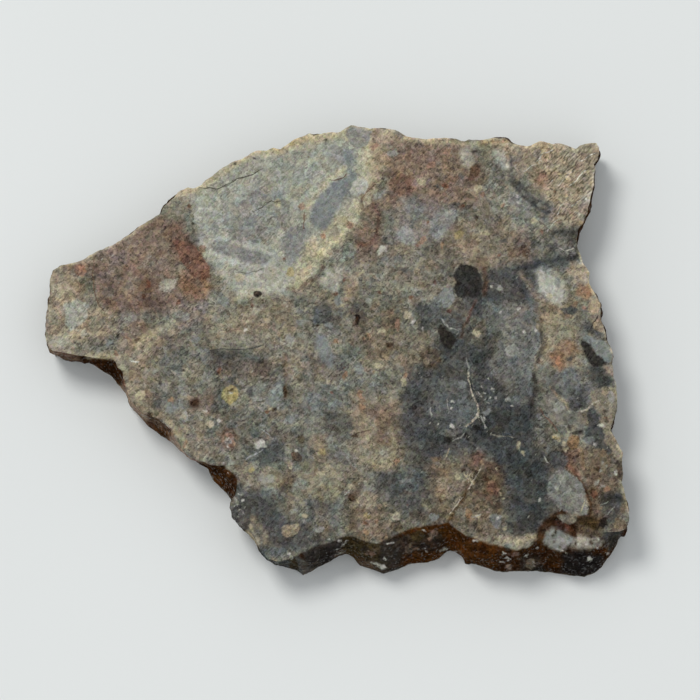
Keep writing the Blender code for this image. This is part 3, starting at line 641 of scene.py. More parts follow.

# The broken wall where the photograph shows it, in the same terms as the sawn face. Its dark kinds
# are the crust's own colour and in part painted shade, for this wall faces away from the lamp; its
# white spots are painted glints on the glossy crust.
WALL_PATCHES = (
    ("brown", 1, 3, (46, 348, 82, 350, 82, 364, 50, 360)),
    ("umber", 1, 3, (80, 352, 124, 354, 124, 386, 78, 372)),
    ("pink", 0.9, 3, (118, 384, 128, 388, 150, 416, 146, 428, 126, 404)),
    ("bistre", 0.9, 3, (146, 410, 168, 420, 172, 440, 150, 430)),
    ("amber", 0.8, 3, (152, 424, 168, 432, 176, 444, 160, 440)),
    ("pink", 0.9, 3, (172, 428, 206, 460, 190, 466, 168, 442)),
    ("amber", 0.8, 4, (208, 466, 228, 472, 226, 500, 210, 480)),
    ("umber", 0.9, 4, (216, 462, 242, 466, 238, 496, 228, 490)),
    ("slate", 0.9, 3, (228, 500, 236, 512, 252, 530, 240, 530, 226, 510)),
    ("cream", 0.9, 2, (248, 526, 260, 543, 256, 547, 246, 532)),
    ("ink", 1, 3, (258, 540, 300, 546, 302, 574, 262, 562)),
    ("moss", 0.8, 2, (290, 556, 298, 558, 299, 574, 290, 572)),
    ("soot", 0.7, 2, (299, 556, 314, 562, 318, 576, 298, 578)),
    ("charcoal", 1, 3, (302, 545, 322, 538, 346, 532, 340, 560, 316, 572, 306, 560)),
    ("black", 0.8, 3, (318, 548, 336, 542, 338, 558, 322, 566)),
    ("moss", 1, 3, (344, 532, 400, 538, 398, 575, 356, 572, 344, 556)),
    ("brown", 0.6, 3, (354, 558, 378, 560, 376, 572, 356, 570)),
    ("charcoal", 0.8, 3, (380, 538, 408, 534, 408, 574, 380, 576)),
    ("amber", 0.9, 2, (398, 524, 450, 516, 470, 534, 450, 532, 404, 534)),
    ("charcoal", 0.6, 3, (404, 536, 442, 532, 440, 552, 408, 556)),
    ("amber", 0.9, 4, (404, 554, 446, 552, 446, 574, 400, 578)),
    ("amber", 0.9, 3, (440, 532, 500, 542, 500, 574, 466, 572, 450, 550)),
    ("umber", 0.7, 3, (468, 538, 486, 542, 484, 572, 470, 568)),
    ("umber", 1, 3, (496, 546, 540, 546, 540, 574, 496, 574)),
    ("charcoal", 0.7, 3, (520, 556, 560, 552, 560, 576, 520, 576)),
    ("umber", 1, 3, (536, 540, 545, 522, 560, 512, 600, 524, 616, 532, 610, 556, 595, 574, 545, 575)),
    ("peat", 0.9, 3, (574, 514, 600, 518, 610, 530, 604, 540, 576, 534)),
    # A pale patch of crust, painted whiter in part as a glint.
    ("milk", 0.8, 2, (571, 537, 578, 533, 586, 536, 597, 537, 603, 541, 601, 546, 587, 548, 578, 549,
        571, 547, 568, 541)),
    ("ash", 0.95, 2, (541, 541, 545, 531, 551, 526, 559, 526, 566, 530, 573, 536, 571, 543, 565, 548,
        557, 551, 549, 548)),
    ("umber", 0.8, 1, (573, 538, 576, 541, 574, 546, 572, 543)),
    ("umber", 0.7, 1, (588, 538, 592, 541, 590, 545, 588, 542)),
    ("maroon", 0.9, 1.5, (554, 520, 570, 523, 568, 531, 556, 528)),
    ("black", 1, 4, (562, 552, 580, 548, 604, 556, 600, 572, 582, 580, 560, 574)),
    ("slate", 0.8, 3, (600, 528, 622, 530, 620, 546, 606, 552)),
    ("charcoal", 0.8, 2, (608, 534, 620, 532, 617, 546, 609, 547)),
)
WALL_BANDS = (
    ("umber", 0.9, 1, 1.5, (551, 523, 555, 529, 552, 534)),
    ("umber", 0.8, 1, 1.5, (561, 524, 562, 531, 568, 534, 574, 534)),
    ("umber", 0.6, 1, 1.2, (547, 539, 554, 541, 560, 547)),
    ("white", 0.5, 0.8, 1.2, (557, 533, 561, 539, 568, 543)),
    ("cream", 0.7, 1.5, 2.5, (86, 357, 104, 358, 115, 359)),
    ("amber", 0.8, 1.5, 3, (604, 549, 608, 553, 605, 558)),
)
WALL_CLASTS = (
    ("taupe", (525, 564, 528, 560, 532, 557, 537, 561, 534, 566, 530, 569, 526, 567)),
    ("brown", (429, 532, 436, 529, 438, 534, 432, 541, 428, 539)),
    ("peat", (405, 546, 411, 544, 414, 549, 410, 554, 405, 551)),
    ("clay", (506, 565, 510, 564, 512, 569, 507, 570)),
    ("moss", (410, 534, 418, 530, 426, 533, 420, 541, 412, 540)),
)
WALL_SPOTS = {
    # The white spots are painted glints on the glossy crust.
    "white": (
        (383, 566, 4.5, 2), (373, 562, 2.5, 1.2), (386, 558, 2, 1), (390, 543, 4, 1),
        (427, 552, 1.5, 1.2), (475, 540, 3.5, 1), (340, 541, 1.5, 1), (344, 545, 1.5, 1.2),
        (338, 549, 1.5, 1.2), (342, 553, 2.5, 0.8), (503, 552, 1.8, 1.2), (501, 561, 3.5, 0.9),
        (346, 541, 1, 0.8), (378, 563, 1.5, 1), (423, 547, 1.2, 0.8), (505, 556, 1.2, 1),
        (526, 556, 2.5, 1.5), (536, 548, 2, 1.5), (589, 559, 2.5, 2.5), (576, 544, 2, 1),
        (585, 543, 2.4, 1.4), (597, 540, 2.2, 1.1), (580, 538, 2, 1), (596, 547, 1.6, 0.9),
        (562, 550, 2.5, 1.2), (556, 549, 1.5, 1), (566, 553, 1.5, 1), (606, 552, 1.3, 1.2),
        (445, 549, 4, 0.8), (456, 551, 4, 0.8), (424, 529, 2.5, 1), (224, 464, 3, 1),
        (441, 551, 2.5, 0.8), (330, 538, 2, 1), (507, 558, 1.3, 1), (534, 562, 1.5, 1),
    ),
    "amber": ((418, 560, 6, 3), (440, 558, 5, 3), (455, 540, 8, 3), (555, 565, 6, 3), (478, 555, 6, 4)),
    "black": ((410, 556, 3, 2), (365, 548, 6, 3), (492, 569, 3, 2), (425, 545, 5, 3), (460, 562, 3, 3)),
    "brown": ((338, 556, 4, 2), (370, 552, 6, 3), (415, 549, 4, 2), (514, 553, 4, 3)),
}

# The kinds under all the patches and of the painted highlight on the rim's chips, and the darker
# line that is painted along each crack.
FACE_BASE, WALL_BASE, RIM_HIGHLIGHT_KIND = "olive", "umber", "chip"
CRACK_KIND, CRACK_LINE_WIDTH = "khaki", 1.0

# How squarely a point faces the photograph's view, or the ground, where it begins to belong to the
# front or to the underside and where it wholly does.
FRONT_RANGE, UNDER_RANGE = (-0.05, 0.2), (0.3, 0.9)
UNDERSIDE_SAW_PART = 2  # what the underside's saw marks are divided by
WALL_START = (0.00004, 0.00013)  # how far below the rim the wall's colours begin and are whole

# The walls that the photograph hides: the kinds that cloud them, and how much they cover.
HIDDEN_WALL_KINDS = (("moss", 0.0016), ("brown", 0.0012), ("charcoal", 0.0009), ("drab", 0.0007))
HIDDEN_WALL_SHARE, CLOUD_RANGE = 0.75, (-0.1, 0.5)
HIDDEN_WALL_LAG = 0.0003  # how much later than in front their colours begin
WALL_SHRINK = 0.35  # pixels that a clast of the sawn face loses for each pixel down such a wall
BURIED_FROM = 0.5  # how far out of view a wall has to be to show the stone's buried clasts

# Clasts that the photograph doesn't show. A higher power makes large ones rarer.
HIDDEN_KINDS = (
    "ash", "pale_green", "grey", "slate", "soot", "ink", "brown", "russet", "bone", "tan", "steel",
    "taupe", "lead", "drab",
)
# The underside's, in pixels: number, smallest size and what the largest have more, area, shape.
UNDERSIDE_CLASTS, UNDERSIDE_SIZE, UNDERSIDE_POWER = 900, (1.6, 15), 4
UNDERSIDE_AREA, UNDERSIDE_SHAPE = ((40, 120), (630, 570)), (0.7, 1.4)
# The buried ones, in metres: number, smallest and largest size.
BURIED_CLASTS, BURIED_SIZE, BURIED_POWER = 5200, (0.0001, 0.0009), 5
BURIED_BEND, BURIED_BEND_LENGTH = 0.0003, 0.0006
# A lump's corners, how far each turns off its even place, and how near and far it stands.
LUMP_CORNERS, LUMP_TURN, LUMP_RANGE = 9, 0.3, (0.75, 1.2)

# Mottling of the whole stone: size of its grains, and how much they differ in tone and in tint.
MOTTLES = ((0.0003, 0.21, 0.06), (0.0006, 0.18, 0.06), (0.0012, 0.13, 0.04))
CLAST_MOTTLE = 0.8
MOTTLE_BEND, MOTTLE_BEND_LENGTH = 0.0001, 0.0004
# The chipped rim is painted pale, as a highlight, where it is turned this way, back towards the
# lamp, in plan, and within this distance. Its direction at a point is taken from the points this
# many places before and after.
RIM_LIT_WAY, RIM_LIT_RANGE, RIM_SPAN = (0.35, 0.94), (0.2, 0.8), 3
RIM_LIT_REACH, RIM_LIT_COVER, RIM_LIT_CHIP_RANGE = 0.00018, 0.85, (-0.6, 0.3)
SAW_STRENGTH, SAW_VARIATION, SAW_PATCH_LENGTH = 0.55, 0.35, 0.0016

# The shader's grain. Lengths are in metres and tones are shares of the colour's own brightness.
GRAIN_BEND, GRAIN_BEND_LENGTH = 0.00012, 0.0004
GRAIN_LENGTH, GRAIN_TONE, GRAIN_TINT = 0.00015, 0.75, 0.13
FINE_LENGTH, FINE_TONE = 0.00008, 1.4
DARKEST = 0.35  # no grain darkens a colour below this share of itself
# Edges of clasts are ragged and soft by so many pixels. Veins end between these half widths, and
# are ragged by this share of it.
RAGGED, RAGGED_LENGTH, EDGE_SOFTNESS = 1.5, 0.00015, 1.1
VEIN_COVER, VEIN_EDGE, VEIN_RAGGED = 0.8, (1.4, 0.5), 0.5
LAYER_COVER = {"clast": 0.95, "spot": 0.75}
SAW_ANGLE = math.radians(47)
SAW_STRETCH, SAW_LENGTH, SAW_TONE = 4.0, 0.00009, 2.4
# Specks: kind, size of the cells that hold one each at most, share of cells, radius, cover, and
# how far they are drawn out along the saw's path. The milk ones are painted glints along the saw
# marks; the charcoal and rust ones are grains.
SPECKS = (
    ("milk", 0.00026, 0.3, 0.00005, 0.5, 2.5),
    ("charcoal", 0.00045, 0.09, 0.00008, 0.5, 1),
    ("rust", 0.0006, 0.08, 0.0001, 0.4, 1),
)
# The share of the specks that are of full size, how softly one ends as a share of its cell, and
# what its cover is divided by where the saw left no marks.
SPECK_FULL, SPECK_EDGE, SPECK_OFF_SAWN = 0.3, 0.12, 3
SAWN_ROUGHNESS, WALL_ROUGHNESS, ROUGHNESS_RANGE = (0.5, 0.75), (0.25, 0.5), (-0.2, 0.2)
SPECULAR = 0.0
# The wall's glossy facets lie where a noise passes these levels.
WALL_COAT, COAT_ROUGHNESS, FACETS = 0.7, 0.2, (0.58, 0.66)
BUMP_DEPTH, BUMP_STRENGTH = 0.00002, 0.7

FLOOR_HALF = 3.0
FLOOR_COLOURS = ((0.76, 0.79, 0.785, 1), (0.78, 0.81, 0.805, 1))
FLOOR_CLOUD, FLOOR_CLOUD_RANGE = 0.05, (0.3, 0.7)
FLOOR_ROUGHNESS, FLOOR_SPECULAR = 0.7, 0.2
LIGHT_PLACE, LIGHT_SIZE, LIGHT_POWER = (-0.28, 0.3, 0.62), 0.3, 2.6
LIGHT_COLOUR = (1.0, 0.98, 0.95)
WORLD_COLOUR, WORLD_STRENGTH = (0.97, 0.98, 1.0, 1), 0.6


def smoothstep(low, high, value):
    """A smooth rise from 0 to 1 between two levels, or a fall where the first is the higher."""
    share = np.clip((value - low) / (high - low), 0, 1)
    return share * share * (3 - 2 * share)


def smooth_noise(points, length, seed):
    """Noise from -1 to 1 at each point, with features about this long."""
    lattice = np.random.default_rng(seed).uniform(-1, 1, (LATTICE,) * 3)
    place = points / length
    cell = np.floor(place).astype(int)
    share = smoothstep(0, 1, place - cell)
    total = np.zeros(len(points))
    for corner in np.ndindex(2, 2, 2):
        at = (cell + corner) % LATTICE
        weight = np.where(corner, share, 1 - share).prod(axis=1)
        total += weight * lattice[at[:, 0], at[:, 1], at[:, 2]]
    return total


def cell_noise(points, length, seed):
    """Three random values from -1 to 1 for the grain in which each point lies."""
    random = np.random.default_rng(seed)
    centres = random.uniform(0, 1, (LATTICE,) * 3 + (3,))
    values = random.uniform(-1, 1, (LATTICE,) * 3 + (3,))
    place = points / length
    cell = np.floor(place).astype(int)
    nearest = np.full(len(points), np.inf)
    found = np.zeros((len(points), 3))
    for step in np.ndindex(3, 3, 3):
        at = cell + step - 1
        name = tuple((at % LATTICE).T)
        gap = ((at + centres[name] - place) ** 2).sum(axis=1)
        closer = gap < nearest
        nearest[closer] = gap[closer]
        found[closer] = values[name][closer]
    return found


def bent(places, amount, length, seed):
    """Places pushed about by up to this much, with bends about this long."""
    push = [smooth_noise(places, length, seed + axis) for axis in (1, 2, 3)]
    return places + amount * np.transpose(push)


def nearest_of(centres, places):
    """Which centre is nearest to each place, and how far off it is."""
    tree = KDTree(len(centres))
    for index, centre in enumerate(centres):
        tree.insert(centre, index)
    tree.balance()
    found = [tree.find(place) for place in places]
    return np.array([index for _, index, _ in found]), np.array([gap for _, _, gap in found])


def photo_pixels(points):
    """Where the photograph shows each point, as columns x and y in pixels."""
    upward = points[:, 1] * math.sin(ELEVATION) + points[:, 2] * math.cos(ELEVATION)
    return np.stack([ORIGIN_PX[0] + points[:, 0] / PIXEL, ORIGIN_PX[1] - upward / PIXEL], axis=1)


def seen_at(x, y, height):
    """The plan position of a point at this height that the photograph shows at this pixel."""
    upward = (ORIGIN_PX[1] - y) * PIXEL
    along = (upward - height * math.cos(ELEVATION)) / math.sin(ELEVATION)
    return (x - ORIGIN_PX[0]) * PIXEL, along


def pairs(outline):
    """Columns x and y of an outline that is written as x and y in turn."""
    return np.reshape(outline, (-1, 2))


def inside(points, ring):
    """Which plan points lie inside a ring."""
    x, y = points[:, 0], points[:, 1]
    found = np.zeros(len(points), bool)
    for (ax, ay), (bx, by) in zip(ring, np.roll(ring, -1, axis=0)):
        if ay != by:
            crosses = (ay > y) != (by > y)
            found ^= crosses & (x < (bx - ax) * (y - ay) / (by - ay) + ax)
    return found


def line_distance(points, line):
    """How far points lie from a line, on which side of it, and how far past a run's end."""
    line = np.array(line, float)
    nearest = np.full(len(points), np.inf)
    side = np.ones(len(points))
    past = np.zeros(len(points))
    for a, b in zip(line, line[1:]):
        run = b - a
        along = ((points - a) @ run) / (run @ run)
        share = np.clip(along, 0, 1)
        off = points - a - share[:, None] * run
        gap = np.linalg.norm(off, axis=1)
        closer = gap < nearest
        nearest[closer] = gap[closer]
        side[closer] = np.sign(run[0] * off[closer, 1] - run[1] * off[closer, 0])
        past[closer] = (np.abs(along - share) * math.hypot(*run))[closer]
    return nearest, side, past


def near_points(points, line, reach):
    """The indices of the points within the line's own box and this reach round it."""
    low, high = np.min(line, axis=0) - reach, np.max(line, axis=0) + reach
    return np.flatnonzero(((points > low) & (points < high)).all(axis=1))


def outline_gap(points, outline):
    """Distance to a closed outline, positive inside it."""
    distance = line_distance(points, [*outline, outline[0]])[0]
    return np.where(inside(points, outline), distance, -distance)


def leftward(run):
    """One step to the left of each run of a line."""
    return np.stack([-run[:, 1], run[:, 0]], axis=1) / np.linalg.norm(run, axis=1)[:, None]


def mixed(a, b, share):
    """Colours a with this share of colours b, point by point."""
    return a + share[:, None] * (b - a)


def plain(kind, count):
    """This many points' colours and grain, all of one kind."""
    return np.tile(np.array(KINDS[kind], float), (count, 1))


def lay(colours, near, kind, share):
    """Lays this share of a kind over the colours of the points near by."""
    colours[near] += share[:, None] * (np.array(KINDS[kind]) - colours[near])


def ground_colours(points, base, patches, bands):
    """Red, green, blue and grain of the soft ground under the clasts."""
    colours = plain(base, len(points))
    for kind, cover, soft, outline in patches:
        outline = pairs(outline)
        near = near_points(points, outline, soft)
        gap = outline_gap(points[near], outline)
        lay(colours, near, kind, cover * smoothstep(-soft, soft, gap))
    for kind, cover, soft, width, line in bands:
        line = pairs(line)
        near = near_points(points, line, width / 2 + soft)
        gap = width / 2 - line_distance(points[near], line)[0]
        lay(colours, near, kind, cover * smoothstep(-soft, soft, gap))
    return colours


def clast_layer(points, clasts):
    """Colour of the nearest clast, and the distance to its edge in pixels, positive inside."""
    colours = plain(FACE_BASE, len(points))
    edge = np.full(len(points), -REACH)
    for kind, outline in clasts:
        outline = pairs(outline)
        near = near_points(points, outline, REACH)
        gap = outline_gap(points[near], outline)
        won = (gap > 0) | (gap > edge[near])
        edge[near[won]] = gap[won]
        colours[near[won]] = KINDS[kind]
    return colours, edge


def vein_layer(points, veins):
    """Colour, signed distance in half widths, and strength of the nearest vein."""
    colours = plain(FACE_BASE, len(points))
    nearest = np.full(len(points), REACH)
    across = np.full(len(points), REACH)
    strength = np.zeros(len(points))
    for kind, width, line in veins:
        line = pairs(line)
        near = near_points(points, line, REACH)
        distance, side, past = line_distance(points[near], line)
        won = distance < nearest[near]
        chosen = near[won]
        nearest[chosen] = distance[won]
        across[chosen] = (side * distance)[won] / (width / 2)
        fade = smoothstep(REACH, REACH - VEIN_FADE, distance) * smoothstep(VEIN_END, 0, past)
        strength[chosen] = fade[won]
        colours[chosen] = KINDS[kind]
    return colours, across, strength


def lump_outline(x, y, half_width, half_height, random):
    """An uneven roundish outline."""
    turns = np.arange(LUMP_CORNERS) + random.uniform(-LUMP_TURN, LUMP_TURN, LUMP_CORNERS)
    turns = turns * math.tau / LUMP_CORNERS
    reach = random.uniform(*LUMP_RANGE, LUMP_CORNERS)
    across = x + half_width * reach * np.cos(turns)
    return np.stack([across, y + half_height * reach * np.sin(turns)], axis=1)


def spot_outlines(spots, seed):
    """Kind and outline of each of the small grains and painted glints."""
    random = np.random.default_rng(seed)
    return [
        (kind, lump_outline(*place, random)) for kind, places in spots.items() for place in places
    ]


def underside_clasts():
    """Clasts for the underside, which the photograph doesn't show: many small and a few large."""
    random = np.random.default_rng(UNDERSIDE_SEED)
    smallest, growth = UNDERSIDE_SIZE
    clasts = []
    for _ in range(UNDERSIDE_CLASTS):
        x, y = random.uniform(*UNDERSIDE_AREA)
        size = smallest + growth * random.random() ** UNDERSIDE_POWER
        kind = HIDDEN_KINDS[random.integers(len(HIDDEN_KINDS))]
        shape = random.uniform(*UNDERSIDE_SHAPE)
        clasts.append((kind, lump_outline(x, y, size * shape, size / shape, random)))
    return clasts


def buried_clasts(places):
    """Colour and edge of the clasts deeper in the stone, which only a broken wall lays open."""
    random = np.random.default_rng(BURIED_SEED)
    centres = random.uniform(LOW, HIGH, (BURIED_CLASTS, 3))
    smallest, largest = BURIED_SIZE
    sizes = smallest + (largest - smallest) * random.random(BURIED_CLASTS) ** BURIED_POWER
    kinds = np.array([KINDS[kind] for kind in HIDDEN_KINDS])
    kinds = kinds[random.integers(len(kinds), size=BURIED_CLASTS)]
    nearest, gap = nearest_of(centres, bent(places, BURIED_BEND, BURIED_BEND_LENGTH, BURIED_SEED))
    return kinds[nearest], (sizes[nearest] - gap) / PIXEL


def wall_strip():
    """The solid's broken wall, divided finely and without the two sawn faces."""
    shape = bmesh.new()
    shape.from_mesh(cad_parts[NODE].data)
    bmesh.ops.remove_doubles(shape, verts=shape.verts, dist=MERGE)
    sawn = [
        face for face in shape.faces
        if any(all(abs(vert.co.z - level) < FLAT for vert in face.verts) for level in (0, THICKNESS))
    ]
    bmesh.ops.delete(shape, geom=sawn, context="FACES")
    bmesh.ops.subdivide_edges(shape, edges=shape.edges, cuts=WALL_CUTS, use_grid_fill=True)
    inner = [vert for vert in shape.verts if not vert.is_boundary]
    for _ in range(WALL_SMOOTHING):
        bmesh.ops.smooth_vert(
            shape, verts=inner, factor=SMOOTHING_FACTOR,
            use_axis_x=True, use_axis_y=True, use_axis_z=True,
        )
    shape.normal_update()
    return shape


def roughen_wall(shape):
    """Gives the wall the grain of broken stone, fading out towards both sawn faces."""
    points = np.array([vert.co for vert in shape.verts])
    normals = np.array([vert.normal for vert in shape.verts])
    depth = np.clip(THICKNESS - points[:, 2], 0, None)
    fade = smoothstep(0, RIM_FADE, depth) * smoothstep(0, FOOT_FADE, points[:, 2])
    for seed, (height, length) in enumerate(WALL_GRAIN, WALL_SEED):
        points += normals * (fade * height * smooth_noise(points, length, seed))[:, None]
    flat = points * (1, 1, 0)
    plan = normals * (1, 1, 0)
    plan /= np.maximum(np.linalg.norm(plan, axis=1), TINY)[:, None]
    for seed, (height, length) in enumerate(RIM_NIBBLES, NIBBLE_SEED):
        points += plan * ((1 - fade) * height * smooth_noise(flat, length, seed))[:, None]
    chip = smoothstep(*CHIP_RANGE, smooth_noise(flat, CHIP_LENGTH, CHIP_SEED))
    points[:, 2] -= CHIP_DEPTH * chip * smoothstep(RIM_FADE, 0, depth)
    for vert, point in zip(shape.verts, points):
        vert.co = point


def boundary_loops(shape):
    """The indices of the wall's rim and foot, each in order round the stone."""
    follow = {}
    for edge in shape.edges:
        if edge.is_boundary:
            loop = edge.link_loops[0]
            follow[loop.vert.index] = loop.link_loop_next.vert.index
    loops = []
    while follow:
        start, at = follow.popitem()
        ring = [start]
        while at != start:
            ring.append(at)
            at = follow.pop(at)
        loops.append(ring)
    return sorted(loops, key=lambda ring: -shape.verts[ring[0]].co.z)


def steps_from_ends(count):
    """How many steps each member of a row stands from the nearer end."""
    steps = np.arange(count)
    return np.minimum(steps, steps[::-1])


def crack_points(line):
    """Plan points down the middle of a crack and along both its lips."""
    line = [np.array(seen_at(x, y, THICKNESS)) for x, y in pairs(line)]
    middle = []
    for a, b in zip(line, line[1:]):
        steps = max(1, round(math.dist(a, b) / CRACK_STEP))
        middle += [a + (b - a) * k / steps for k in range(steps)]
    middle = np.array(middle)
    out = leftward(np.gradient(middle, axis=0))
    sway = smooth_noise(np.c_[middle, np.zeros(len(middle))], CRACK_SWAY_LENGTH, CRACK_SEED)
    middle += out * (sway * CRACK_WIDTH * CRACK_SWAY)[:, None]
    taper = smoothstep(0, CRACK_TAPER, steps_from_ends(len(middle)) + CRACK_TIP)
    lip = out * (CRACK_WIDTH / 2 * taper)[:, None]
    return middle, np.concatenate([middle + lip, middle - lip])


def face_points(ring, spacing, cracks):
    """Plan points that fill a ring, and how deep each one lies below the face.

    They stand in a triangular grid, each a little off its place, and more finely along the cracks.
    """
    random = np.random.default_rng(GRID_SEED)
    low, high = ring.min(axis=0), ring.max(axis=0)
    rise = spacing * math.sqrt(3) / 2
    rows = int((high[1] - low[1]) / rise)
    columns = int((high[0] - low[0]) / spacing)
    row, column = np.mgrid[0:rows, 0:columns].reshape(2, -1)
    grid = np.stack([low[0] + spacing * (column + row % 2 / 2), low[1] + rise * row], axis=1)
    grid += random.uniform(-GRID_STRAY, GRID_STRAY, grid.shape) * spacing
    grid = grid[inside(grid, ring)]
    closed = [*ring, ring[0]]
    clear = np.full(len(grid), True)
    for a, b in zip(closed, closed[1:]):
        near = near_points(grid, (a, b), spacing)
        clear[near] &= line_distance(grid[near], (a, b))[0] > spacing * OUTLINE_CLEARANCE
    grid = grid[clear]
    points, depth = [], []
    for line in cracks:
        middle, lips = crack_points(line)
        near = near_points(grid, middle, spacing)
        gap = line_distance(grid[near], middle)[0]
        close = gap < CRACK_WIDTH / 2 + spacing / CRACK_CLEARANCE_PART
        grid = np.delete(grid, near[close], axis=0)
        slope = smoothstep(0, CRACK_SLOPE, steps_from_ends(len(middle)))
        points += [middle, lips]
        depth += [CRACK_DEPTH * slope, np.zeros(len(lips))]
    return np.concatenate([grid, *points]), np.concatenate([np.zeros(len(grid)), *depth])


def fill_face(ring, extra):
    """Triangles, as indices into the ring's points followed by the extra ones."""
    loop = [Vector(point) for point in ring] + [Vector(point) for point in extra]
    fill = geometry.delaunay_2d_cdt(loop, [], [range(len(ring))], TRIANGLES_INSIDE, 0.0)
    sources = [source[0] for source in fill[3]]
    return [[sources[i] for i in corners] for corners in fill[2]]


def stone_mesh():
    """The stone's surface, the points of its rim, and how many of its points are the wall's."""
    wall = wall_strip()
    roughen_wall(wall)
    wall.verts.index_update()
    wall.verts.ensure_lookup_table()
    points = [vert.co.copy() for vert in wall.verts]
    faces = [[vert.index for vert in face.verts] for face in wall.faces]
    rings = boundary_loops(wall)
    wall.free()
    wall_count = len(points)
    sawn_faces = ((THICKNESS, TOP_SPACING, 1, CRACKS), (0.0, UNDERSIDE_SPACING, -1, ()))
    for ring, (level, spacing, up, cracks) in zip(rings, sawn_faces):
        plan = np.array([points[i].to_2d() for i in ring])
        extra, depth = face_points(plan, spacing, cracks)
        spread = np.c_[extra, np.zeros(len(extra))]
        rise = FACE_UNEVENNESS * (smooth_noise(spread, UNEVEN_LENGTH, UNEVEN_SEED) - 1) - depth
        names = [*ring, *range(len(points), len(points) + len(extra))]
        points += [Vector((x, y, level + up * z)) for (x, y), z in zip(extra, rise)]
        for corners in fill_face(plan, extra):
            a, b, c = (names[i] for i in corners)
            turn = (points[b] - points[a]).to_2d().cross((points[c] - points[a]).to_2d())
            faces.append([a, b, c] if turn * up > 0 else [a, c, b])
    mesh = bpy.data.meshes.new("slice_surface")
    mesh.from_pydata(points, [], faces)
    mesh.validate()
    mesh.shade_smooth()
    mesh.set_sharp_from_angle(angle=SHARP_ANGLE)
    return mesh, [points[i] for i in rings[0]], wall_count


def linear(colours):
    """Linear red, green and blue of colours from 0 to 255, by the usual curve of screens.

    The grain after them stays as it is.
    """
    colours = colours.copy()
    share = colours[:, :3] / 255
    colours[:, :3] = np.where(share > 0.04045, ((share + 0.055) / 1.055) ** 2.4, share / 12.92)
    return colours


def stray(pixels, places, amounts, seed):
    """Moves pixels about, more smoothly the longer the bends are."""
    moved = pixels.copy()
    for size, length in amounts:
        for axis in (0, 1):
            seed += 1
            moved[:, axis] += size * smooth_noise(places, length * PIXEL, seed)
    return moved


def mottle(colours, places, share):
    """Lightens, darkens and tints the stone grain by grain, more where its own grain is strong.

    Green shifts half as much as red and blue.
    """
    places = bent(places, MOTTLE_BEND, MOTTLE_BEND_LENGTH, MOTTLE_BEND_SEED)
    for seed, (length, tone, tint) in enumerate(MOTTLES, MOTTLE_SEED):
        light, warm, green = (cell_noise(places, length, seed) * colours[:, 3:] * share).T
        colours[:, :3] *= (1 + tone * light)[:, None]
        shift = np.stack([1 + tint * warm, 1 + tint * green / 2, 1 - tint * warm], axis=1)
        colours[:, :3] *= shift


def rim_light(places, rim):
    """Each point's distance from the rim, and how strong the painted highlight on the rim's chips is
    there.
    """
    plan = np.array(rim)[:, :2]
    out = leftward(np.roll(plan, -RIM_SPAN, axis=0) - np.roll(plan, RIM_SPAN, axis=0))
    nearest, gap = nearest_of(rim, places)
    faced = smoothstep(*RIM_LIT_RANGE, out[nearest] @ RIM_LIT_WAY)
    near = smoothstep(RIM_LIT_REACH, 0, gap)
    lit_chips = smoothstep(*RIM_LIT_CHIP_RANGE, smooth_noise(places, CHIP_LENGTH, RIM_SEED))
    return gap, faced * near * lit_chips


def hidden_wall_colours(places, ground):
    """The ground of the walls that the photograph hides, clouded over the sawn face's own."""
    colours = plain(WALL_BASE, len(places))
    for seed, (kind, length) in enumerate(HIDDEN_WALL_KINDS, HIDDEN_WALL_SEED):
        share = smoothstep(*CLOUD_RANGE, smooth_noise(places, length, seed))
        colours = mixed(colours, np.array(KINDS[kind]), share)
    return mixed(ground, colours, np.full(len(places), HIDDEN_WALL_SHARE))


def stone_ground(places, seen, below, front, wall, under):
    """The ground all over the stone: its sawn face, its walls and its underside."""
    face = ground_colours(seen, FACE_BASE, FACE_PATCHES, FACE_BANDS)
    # The walls in view take the photographed wall's dark kinds, which hold painted shade as well as the
    # crust's colour.
    shown_wall = ground_colours(seen, WALL_BASE, WALL_PATCHES, WALL_BANDS)
    ground = mixed(face, mixed(hidden_wall_colours(places, face), shown_wall, front), wall)
    return mixed(ground, ground_colours(below, FACE_BASE, FACE_PATCHES, ()), under)


def stone_clasts(places, seen, below, out_of_view, under):
    """The clasts, then the small grains and painted glints, all over the stone, each as colours and
    edges.
    """
    clasts, clast_edge = clast_layer(seen, FACE_CLASTS + WALL_CLASTS)
    spots = spot_outlines(FACE_SPOTS, FACE_SPOT_SEED) + spot_outlines(WALL_SPOTS, WALL_SPOT_SEED)
    spots, spot_edge = clast_layer(seen, spots)
    shrink = WALL_SHRINK * out_of_view * (THICKNESS - places[:, 2]) / PIXEL
    clast_edge -= shrink
    spot_edge -= shrink
    buried, buried_edge = buried_clasts(places)
    shown = (out_of_view > BURIED_FROM) & (buried_edge > clast_edge)
    clasts[shown], clast_edge[shown] = buried[shown], buried_edge[shown]
    hidden_clasts, hidden_edge = clast_layer(below, underside_clasts())
    clasts = mixed(clasts, hidden_clasts, under)
    clast_edge += under * (hidden_edge - clast_edge)
    spot_edge -= under * (spot_edge + REACH)
    return clasts, clast_edge, spots, spot_edge


def saw_marks(places, seen):
    """How plain the saw's marks are at each point of the sawn faces."""
    strength = SAW_STRENGTH + SAW_VARIATION * smooth_noise(places, SAW_PATCH_LENGTH, SAW_SEED)
    for cover, soft, outline in SAWN_PATCHES:
        outline = pairs(outline)
        near = near_points(seen, outline, soft)
        share = smoothstep(-soft, soft, outline_gap(seen[near], outline))
        strength[near] += share * (cover - strength[near])
    return strength


def keep_on_points(mesh, kind, member, layers):
    """Keeps named values on the mesh's points, where the material finds them."""
    for name, values in layers.items():
        mesh.attributes.new(name, kind, "POINT").data.foreach_set(member, values.ravel())


